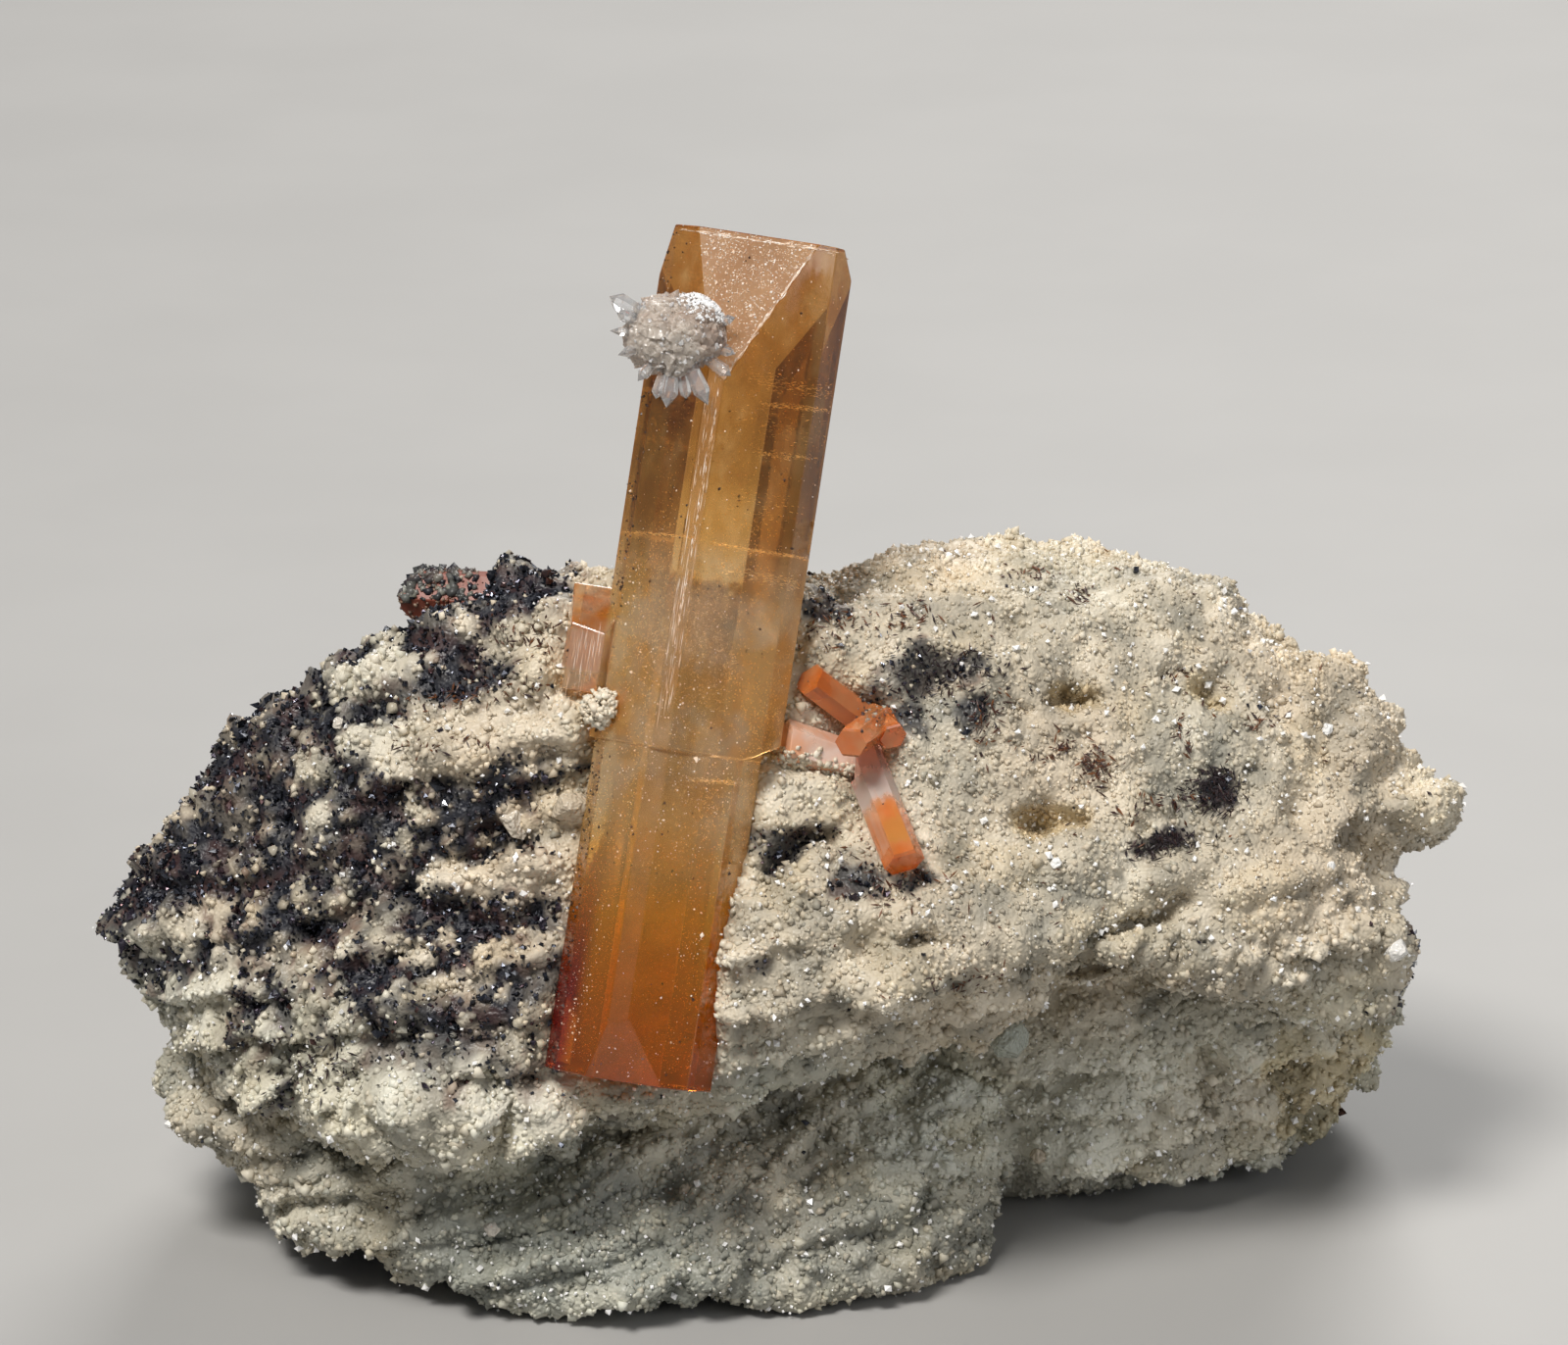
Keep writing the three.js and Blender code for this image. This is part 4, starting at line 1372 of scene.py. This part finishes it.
def makeCreeping():
    parts = []  # places, sizes and fields
    grainFields = [label.lower() for label in sugarFields]

    def add(kind, places):
        _, size, look = creeping[kind]
        count = len(places)
        sizes = size * np.clip(np.exp(draw.normal(0, 0.35, count)), 0.5, 1.7)
        columns = [np.clip(draw.normal(*look.get(name, (0, 0)), count), 0, 1) for name in grainFields]
        parts.append((places, sizes, np.stack(columns, 1)))

    def coat(kind, node, chanceAt):
        places, _ = scatterOnFacets(surfaceOf(smallMeshes[node]), creeping[kind][0], chanceAt)
        add(kind, places)

    def knobChance(places, ways):
        end = smoothStep(*creepingPlaces["knobs"], pixelsOf(places)[:, 0])
        return end * smoothStep(-0.1, 0.5, ways[:, 2])

    def redChance(places, ways):
        return 0.12 + 0.8 * smoothStep(*creepingPlaces["red"], pixelsOf(places)[:, 0])

    def plateChance(places, ways):
        spots = pixelsOf(places)
        slope, column = creepingPlaces["plateSlope"]
        return smoothStep(*creepingPlaces["plate"], spots[:, 1] - slope * (spots[:, 0] - column))

    def sprayChance(places, ways):
        root = np.clip(1.3 - patchReach(pixelsOf(places), *creepingPlaces["sprayRoot"]), 0, 1)
        return np.maximum(0.02, 0.7 * root)

    coat("darkKnobs", "topaz_back", knobChance)
    coat("redDust", "topaz_back", redChance)
    coat("plateSugar", "topaz_plate", plateChance)
    coat("sprayDust", "topaz_spray", sprayChance)
    tallTree = crystalTrees["topaz_main"]
    centre, _ = frontOf(tallTree, *leaningKnob["pixel"], leaningKnob["raised"])
    ways = unit(draw.normal(size=(leaningKnob["grains"], 3)))
    reach = np.cbrt(draw.random((len(ways), 1))) * leaningKnob["halves"]
    add("knobGrains", centre + ways * reach)
    add("largeGrains", centre + ways[:leaningKnob["large"]] * leaningKnob["largeAt"])
    places, sizes, values = (np.concatenate(column) for column in zip(*parts))
    gaps = np.array([tallTree.find_nearest(place)[3] for place in places])
    free = (places[:, 2] > sizes) & (gaps > 0.6 * sizes)
    places, sizes, values = places[free], sizes[free], values[free]
    stretch = sizes[:, None] * draw.uniform(0.75, 1.3, (len(sizes), 3))
    fields = dict(zip(grainFields, values.T))
    kinds = chipKinds(24, 0.13)
    mesh = grainMesh("creeping_grains", kinds, places, randomTurns(len(sizes)), stretch, fields)
    mesh.shade_smooth()
    addPiece("creeping_grains", mesh, sugarMaterial("creepingGrains"))
    print("creeping grains:", len(sizes))


makeCreeping()


# Rusty needles and specks. Clusters are patches with a count
needles = {
    "clusters": [
        ((1118, 780), (17, 20), 25, 80),
        ((1082, 764), (20, 7), -20, 36),
        ((1103, 606), (10, 9), 0, 30),
        ((925, 628), (26, 12), -20, 40),
        ((1045, 585), (28, 8), 0, 28),
        ((960, 690), (66, 36), 0, 130),
        ((1004, 735), (20, 34), 10, 50),
        ((1204, 742), (5, 12), 0, 14),
        ((1213, 765), (4, 12), -15, 12),
        ((1198, 690), (20, 5), -25, 18),
        ((1290, 738), (18, 8), 0, 16),
        ((1190, 820), (40, 10), -15, 40),
        ((1240, 806), (22, 21), 0, 220),
        ((1186, 860), (30, 11), -12, 130),
        ((990, 1000), (60, 14), -10, 40),
        ((910, 900), (56, 26), 0, 60),
        ((858, 636), (34, 16), -15, 50),
        ((500, 705), (90, 18), -8, 80),
        ((450, 760), (50, 8), -5, 30),
        ((545, 650), (44, 24), 0, 60),
        ((320, 1088), (50, 28), 0, 110),
        ((1120, 700), (320, 130), 0, 70),
        ((1080, 900), (260, 90), -10, 40),
    ],
    "width": (0.045 * mm, 0.1 * mm),
    "length": (0.13 * mm, 0.5 * mm),
    "raised": 0.13 * mm,
    "stops": [
        (0.0, (0.014, 0.009, 0.010)),
        (0.35, (0.020, 0.011, 0.016)),
        (0.7, (0.075, 0.024, 0.010)),
        (1.0, (0.21, 0.075, 0.022)),
    ],
    "rough": (0.3, 0.6),
    "black": 100,  # clusters of more needles than this are dark
    "darkTones": (0.0, 0.5),
    "rustyTones": (0.4, 1.0),
    "clear": 0.3 * mm,  # least gap to a crystal
}


def makeNeedles():
    spots, tones = [], []
    for centre, halves, turn, count in needles["clusters"]:
        angle = math.radians(turn)
        along, across = (draw.normal(0, 0.55, (count, 2)) * halves).T
        px = centre[0] + along * math.cos(angle) - across * math.sin(angle)
        py = centre[1] + along * math.sin(angle) + across * math.cos(angle)
        spots.append(np.stack([px, py], 1))
        span = needles["darkTones"] if count > needles["black"] else needles["rustyTones"]
        tones.append(draw.uniform(*span, count))
    places, ways, hit = frontsOf(rockTree, np.concatenate(spots), needles["raised"])
    gaps, _ = gapTo(places, room["reach"])
    kept = gaps > needles["clear"]
    places, ways, tones = places[kept], ways[kept], np.concatenate(tones)[hit][kept]
    count = len(places)
    lying = unit(np.cross(ways, draw.normal(size=ways.shape)) + 0.35 * ways * draw.random((count, 1)))
    thin = draw.uniform(*needles["width"], (count, 2))
    long = np.exp(draw.uniform(*np.log(needles["length"]), (count, 1)))
    sizes = np.concatenate([thin, long], 1)
    turns = standingTurns(lying, 0.05)
    mesh = grainMesh("rusty_needles", chipKinds(12, 0.08), places, turns, sizes, {"tone": tones})
    material = speckMaterial("rustyNeedles", needles["stops"], needles["rough"])
    addPiece("rusty_needles", mesh, material)
    print("needles:", count)


makeNeedles()


# Larger pale crystals in the rock: pixel, radius in pixels, how square, and how white
paleCrystals = {
    "list": [
        ((585, 824), 26, 5.0, 0.5),
        ((527, 836), 20, 5.0, 0.62),
        ((1030, 1060), 26, 2.0, 0.0),
        ((1425, 970), 13, 4.0, 0.9),
        ((1353, 745), 9, 4.0, 1.0),
        ((1077, 880), 7, 4.0, 1.0),
        ((1358, 884), 6, 4.0, 1.0),
        ((345, 738), 8, 3.0, 0.7),
        ((502, 1253), 10, 3.0, 0.7),
        ((1060, 1180), 12, 2.4, 0.5),
        ((700, 1215), 8, 3.0, 0.6),
    ],
    "corners": 30,
    "scale": 0.82,
    "stops": [(0.0, (0.40, 0.42, 0.36)), (0.5, (0.58, 0.49, 0.37)), (1.0, (0.90, 0.89, 0.86))],
    "clear": 0.08,
    "grain": (5200.0, 0.09 * mm),  # scale and height of the fine relief
}


def makePaleCrystals():
    joined = bmesh.new()
    layer = joined.verts.layers.float.new("tone")
    for spot, radius, squareness, tone in paleCrystals["list"]:
        place, _ = frontOf(rockTree, *spot)
        ways = unit(draw.normal(size=(paleCrystals["corners"], 3)))
        ways /= (np.abs(ways) ** squareness).sum(1, keepdims=True) ** (1 / squareness)
        turn = randomTurns(1)[0]
        size = paleCrystals["scale"] * radius * viewer["pixel"] * draw.uniform(0.85, 1.1, 3)
        shape = [joined.verts.new(place + turn @ (way * size)) for way in ways]
        for corner in shape:
            corner[layer] = tone
        hull = bmesh.ops.convex_hull(joined, input=shape)
        spare = hull["geom_interior"] + hull["geom_unused"]
        loose = {part for part in spare if isinstance(part, bmesh.types.BMVert)}
        bmesh.ops.delete(joined, geom=list(loose), context="VERTS")
    mesh = bpy.data.meshes.new("pale_crystals")
    bmesh.ops.recalc_face_normals(joined, faces=joined.faces)
    joined.to_mesh(mesh)
    joined.free()
    mesh.shade_flat()
    clear = paleCrystals["clear"]
    material, tree, shader, place = newMaterial("paleCrystals", IOR=1.5, Transmission_Weight=clear)
    lines = useGroup(tree, growthLines, {"Place": place, "Fineness": 2600.0, "Stretch": (1, 1, 1)})
    tree.links.new(ramp(tree, field(tree, "tone"), paleCrystals["stops"]), shader.inputs["Base Color"])
    tree.links.new(between(tree, lines["Frost"], 0.15, 0.45, 0.08, 0.4), shader.inputs["Roughness"])
    scale, height = paleCrystals["grain"]
    cells = useGroup(tree, fineRelief, {"Place": place, "Size": scale})["Height"]
    setBump(tree, shader, cells, 0.8, height)
    addPiece("pale_crystals", mesh, material)


makePaleCrystals()
print("pale crystals made")


# Quartz druse: a milky lump of grains against the tall crystal, clear points at its rim, frost on top
druse = {
    "radius": 2.1 * mm,
    "pixel": (690, 342),
    "raised": 0.9 * mm,
    "core": 0.76,
    "plates": [(380, 0.035, 0.32), (1400, 0.012, 0.35)],  # count, steps in millimetres, and lean
    "coreGap": 0.015 * mm,  # from the tall crystal
    "grains": 300,
    "grainsAt": 0.76,  # share of the radius, as are the next two
    "grainSize": (0.03, 0.1),
    "frostAt": 0.78,
    "rim": [  # pixels that the longer points reach, and how wide those are in pixels
        (624, 300, 22), (627, 318, 14), (622, 338, 10), (632, 369, 13), (646, 386, 13), (684, 417, 21),
        (666, 404, 16), (701, 405, 15), (722, 412, 18), (741, 386, 14), (751, 360, 12), (750, 326, 12),
    ],
    "rimFrom": 0.5,  # share of the radius where they start
    "rimLean": 0.8 * mm,  # how far their tips come forward
    "frost": ((727, 307), (30, 20), 10),  # the patch that frost whitens
    "frostGrains": 9000,
    "frostSize": (0.02, 0.06),  # shares of the radius
    "frostRough": (0.15, 0.45),
    "softReach": 0.45 * mm,
    "milkyLook": {
        "clear": 0.1,
        "soft": 1.0,
        "rough": (0.24, 0.5),
        "colour": (0.38, 0.28, 0.22),
        "milk": (0.52, 0.46, 0.40),
    },
    "grainLook": {
        "clear": 0.6,
        "soft": 0.0,
        "rough": (0.04, 0.2),
        "colour": (0.90, 0.87, 0.86),
        "milk": (0.97, 0.97, 0.97),
    },
    "clearLook": {
        "clear": 0.84,
        "soft": 0.0,
        "rough": (0.02, 0.12),
        "colour": (0.94, 0.94, 0.94),
        "milk": (0.98, 0.98, 0.98),
    },
    "frostStops": [(0.0, (0.80, 0.80, 0.80)), (1.0, (0.97, 0.97, 0.97))],
}
pointFaces = [(i, (i + 1) % 6, 6 + (i + 1) % 6) for i in range(6)]
pointFaces += [(i, 6 + (i + 1) % 6, 6 + i) for i in range(6)]
pointFaces += [(6 + i, 6 + (i + 1) % 6, 12) for i in range(6)]
pointFaces += [(0, (i + 1) % 6, i) for i in range(1, 5)]


def quartzPointShape(taper, shoulder):
    turns = np.arange(6) * math.pi / 3
    ring = np.stack([np.cos(turns), np.sin(turns), np.zeros(6)], 1)
    shoulderRing = ring * taper + (0, 0, shoulder)
    return np.concatenate([ring * (0.8, 0.8, 1), shoulderRing, [(0, 0, 1)]])


def quartzMaterial(name, look):
    material, tree, shader, place = newMaterial(name, IOR=1.54, Transmission_Weight=look["clear"])
    shader.inputs["Subsurface Weight"].default_value = look["soft"]
    shader.inputs["Subsurface Scale"].default_value = druse["softReach"]
    shader.inputs["Subsurface Radius"].default_value = (1.0, 1.0, 1.0)
    lines = useGroup(tree, growthLines, {"Place": place, "Fineness": 2600.0, "Stretch": (1, 1, 1)})
    milky = between(tree, lines["Cloud"], 0.4, 0.65)
    tree.links.new(mixColours(tree, milky, look["colour"], look["milk"]), shader.inputs["Base Color"])
    tree.links.new(between(tree, lines["Frost"], 0.15, 0.45, *look["rough"]), shader.inputs["Roughness"])
    setBump(tree, shader, lines["Height"], 0.2, 0.02 * mm)
    return material


def druseShape(ways):  # the lump's uneven reach, flatter on top
    return 1 + 0.14 * softNoise(ways * 1.7 + 4) - 0.22 * (ways @ up) ** 2


# How far points lie outside the tall crystal past a margin, and the nearest places at that margin
def outOfCrystal(points, margin):
    tree = crystalTrees["topaz_main"]
    found = [tree.find_nearest(point) for point in points]
    places = np.array([place for place, _, _, _ in found])
    ways = np.array([way for _, way, _, _ in found])
    return ((points - places) * ways).sum(1) - margin, places + ways * margin


def platesOn(ways):  # flat faces at uneven heights, each leaning its own way
    heights = np.zeros(len(ways))
    for count, step, lean in druse["plates"]:
        seeds = unit(draw.normal(size=(count, 3)))
        nearest = (ways @ seeds.T).argmax(1)
        leans = draw.normal(0, lean, (count, 3))[nearest]
        heights += draw.uniform(-step, step, count)[nearest] + ((ways - seeds[nearest]) * leans).sum(1)
    return heights


def druseCore(centre):
    core = bmesh.new()
    bmesh.ops.create_icosphere(core, subdivisions=6, radius=druse["radius"] * druse["core"])
    mesh = bpy.data.meshes.new("quartz_milk")
    core.to_mesh(mesh)
    core.free()
    ball, outward = readMesh(mesh)
    ball = centre + ball * druseShape(outward)[:, None] + outward * (platesOn(outward) * mm)[:, None]
    clear, pressed = outOfCrystal(ball, druse["coreGap"])
    ball[clear < 0] = pressed[clear < 0]
    mesh.vertices.foreach_set("co", ball.astype(np.float32).ravel())
    mesh.shade_flat()
    return mesh


def quartzPoints(name, centre, turns, start, tip, wide):
    count = len(tip)
    places = centre + turns[:, :, 2] * start[:, None]
    sizes = np.stack([wide, wide * draw.uniform(0.75, 1.1, count), tip - start], 1)
    long = turns[:, :, 2] * sizes[:, 2:]
    for _ in range(4):  # brought forward, clear of the crystal
        gaps = np.minimum(outOfCrystal(places, 0)[0], outOfCrystal(places + long, 0)[0])
        places = places - ahead * np.maximum(1.6 * (1.15 * wide - gaps), 0)[:, None]
    free = (outOfCrystal(places, 0)[0] > wide) & (outOfCrystal(places + long, 0)[0] > wide)
    shapes = [quartzPointShape(draw.uniform(0.85, 1.0), draw.uniform(0.66, 0.86)) for _ in range(12)]
    shapes = np.stack(shapes)
    kinds = draw.integers(0, len(shapes), count)
    points, faces = placeCopies(shapes, pointFaces, kinds[free], places[free], turns[free], sizes[free])
    return meshFrom(name, points, faces)


def makeDruse():
    centre, _ = frontOf(crystalTrees["topaz_main"], *druse["pixel"], druse["raised"])
    radius = druse["radius"]
    addPiece("quartz_milk", druseCore(centre), quartzMaterial("milkyQuartz", druse["milkyLook"]))

    ways = unit(draw.normal(size=(druse["grains"], 3)))
    reach = radius * druse["grainsAt"] * draw.uniform(0.93, 1.05, len(ways)) * druseShape(ways)
    places = centre + ways * reach[:, None]
    sizes = radius * draw.uniform(*druse["grainSize"], (len(ways), 1))
    sizes = sizes * draw.uniform(0.75, 1.3, (len(ways), 3))
    free = outOfCrystal(places, 0)[0] > 0.75 * sizes.max(1)
    count = int(free.sum())
    fields = {"tone": draw.random(count)}
    kinds = chipKinds(24, 0.16)
    mesh = grainMesh("quartz_grains", kinds, places[free], randomTurns(count), sizes[free], fields)
    addPiece("quartz_grains", mesh, quartzMaterial("grainyQuartz", druse["grainLook"]))

    ways, tip = [], []
    for px, py, _ in druse["rim"]:
        line = unit(sightLine(px, py))
        reach = eye + line * ((centre - eye) @ line) - centre - line * druse["rimLean"]
        ways.append(unit(reach))
        tip.append(np.linalg.norm(reach))
    count = len(tip)
    turns = standingTurns(np.array(ways), 0.06)
    wide = np.array([across for _, _, across in druse["rim"]]) * viewer["pixel"] / 2
    start = np.full(count, druse["rimFrom"] * radius)
    points = quartzPoints("quartz_points", centre, turns, start, np.array(tip), wide)
    material = quartzMaterial("clearQuartz", druse["clearLook"])
    addPiece("quartz_points", points, material, "quartz_druse")

    ways = unit(draw.normal(size=(druse["frostGrains"], 3)))
    places = centre + ways * (radius * druse["frostAt"] * druseShape(ways))[:, None]
    reach = patchReach(pixelsOf(places), *druse["frost"])
    chance = np.clip(1.5 - 1.2 * reach, 0, 1) * (ways @ ahead < 0.1)
    kept = (draw.random(len(ways)) < chance) & (outOfCrystal(places, 0.1 * mm)[0] > 0)
    count = int(kept.sum())
    sizes = radius * draw.uniform(*druse["frostSize"], (count, 1)) * draw.uniform(0.7, 1.4, (count, 3))
    fields = {"tone": draw.random(count)}
    mesh = grainMesh("quartz_frost", chipKinds(12, 0.1), places[kept], randomTurns(count), sizes, fields)
    material = speckMaterial("quartzFrost", druse["frostStops"], druse["frostRough"])
    addPiece("quartz_frost", mesh, material)
    print("frost grains:", count)


makeDruse()
print("druse made")


# Floor, light and camera
studio = {
    "floor": 3.0,
    "floorColour": (0.37, 0.365, 0.355),
    "world": (0.86, 0.90, 0.96),
    "worldStrength": 0.18,
    "lamps": [  # place, size, watts, colour
        ((-0.17, -0.27, 0.52), 0.18, 4.0, (1.0, 0.97, 0.93)),
        ((0.42, -0.30, 0.24), 0.26, 0.5, (0.96, 0.97, 1.0)),
        ((0.10, 0.42, 0.34), 0.26, 1.8, (1.0, 0.98, 0.95)),
    ],
    "target": (0.0, 0.0, 0.014),
}


def makeStudio():
    side = studio["floor"] / 2
    points = [(-side, -side, 0), (side, -side, 0), (side, side, 0), (-side, side, 0)]
    floor = bpy.data.objects.new("floor", meshFrom("floor", points, [(0, 1, 2, 3)]))
    scene.collection.objects.link(floor)
    material, tree, shader, place = newMaterial("paleFloor", Roughness=0.6)
    grain = between(tree, noise(tree, place, 60.0), 0.3, 0.7, 0.96, 1.0)
    colour = mixColours(tree, 1.0, studio["floorColour"], grain, "MULTIPLY")
    tree.links.new(colour, shader.inputs["Base Color"])
    floor.data.materials.append(material)
    world = bpy.data.worlds.new("studioAir")
    scene.world = world
    world.use_nodes = True
    sky = world.node_tree.nodes["Background"].inputs
    sky["Color"].default_value = (*studio["world"], 1)
    sky["Strength"].default_value = studio["worldStrength"]
    for i, (place, size, watts, colour) in enumerate(studio["lamps"]):
        lamp = bpy.data.lights.new(f"lamp{i}", "AREA")
        lamp.size = size
        lamp.energy = watts
        lamp.color = colour
        holder = bpy.data.objects.new(f"lamp{i}", lamp)
        holder.location = place
        aim = Vector(studio["target"]) - Vector(place)
        holder.rotation_euler = aim.to_track_quat("-Z", "Y").to_euler()
        scene.collection.objects.link(holder)


def makeCamera():
    lens = bpy.data.cameras.new("camera")
    lens.sensor_width = viewer["sensor"]
    lens.lens = lens.sensor_width * viewer["distance"] / (viewer["picture"][0] * viewer["pixel"])
    lens.clip_start = viewer["nearest"]
    camera = bpy.data.objects.new("camera", lens)
    turn = Matrix(np.stack([right, up, -ahead], 1).tolist())
    camera.matrix_world = Matrix.Translation(Vector(eye)) @ turn.to_4x4()
    scene.collection.objects.link(camera)
    scene.camera = camera


makeStudio()
makeCamera()
scene.view_settings.view_transform = "Standard"
print("studio made")
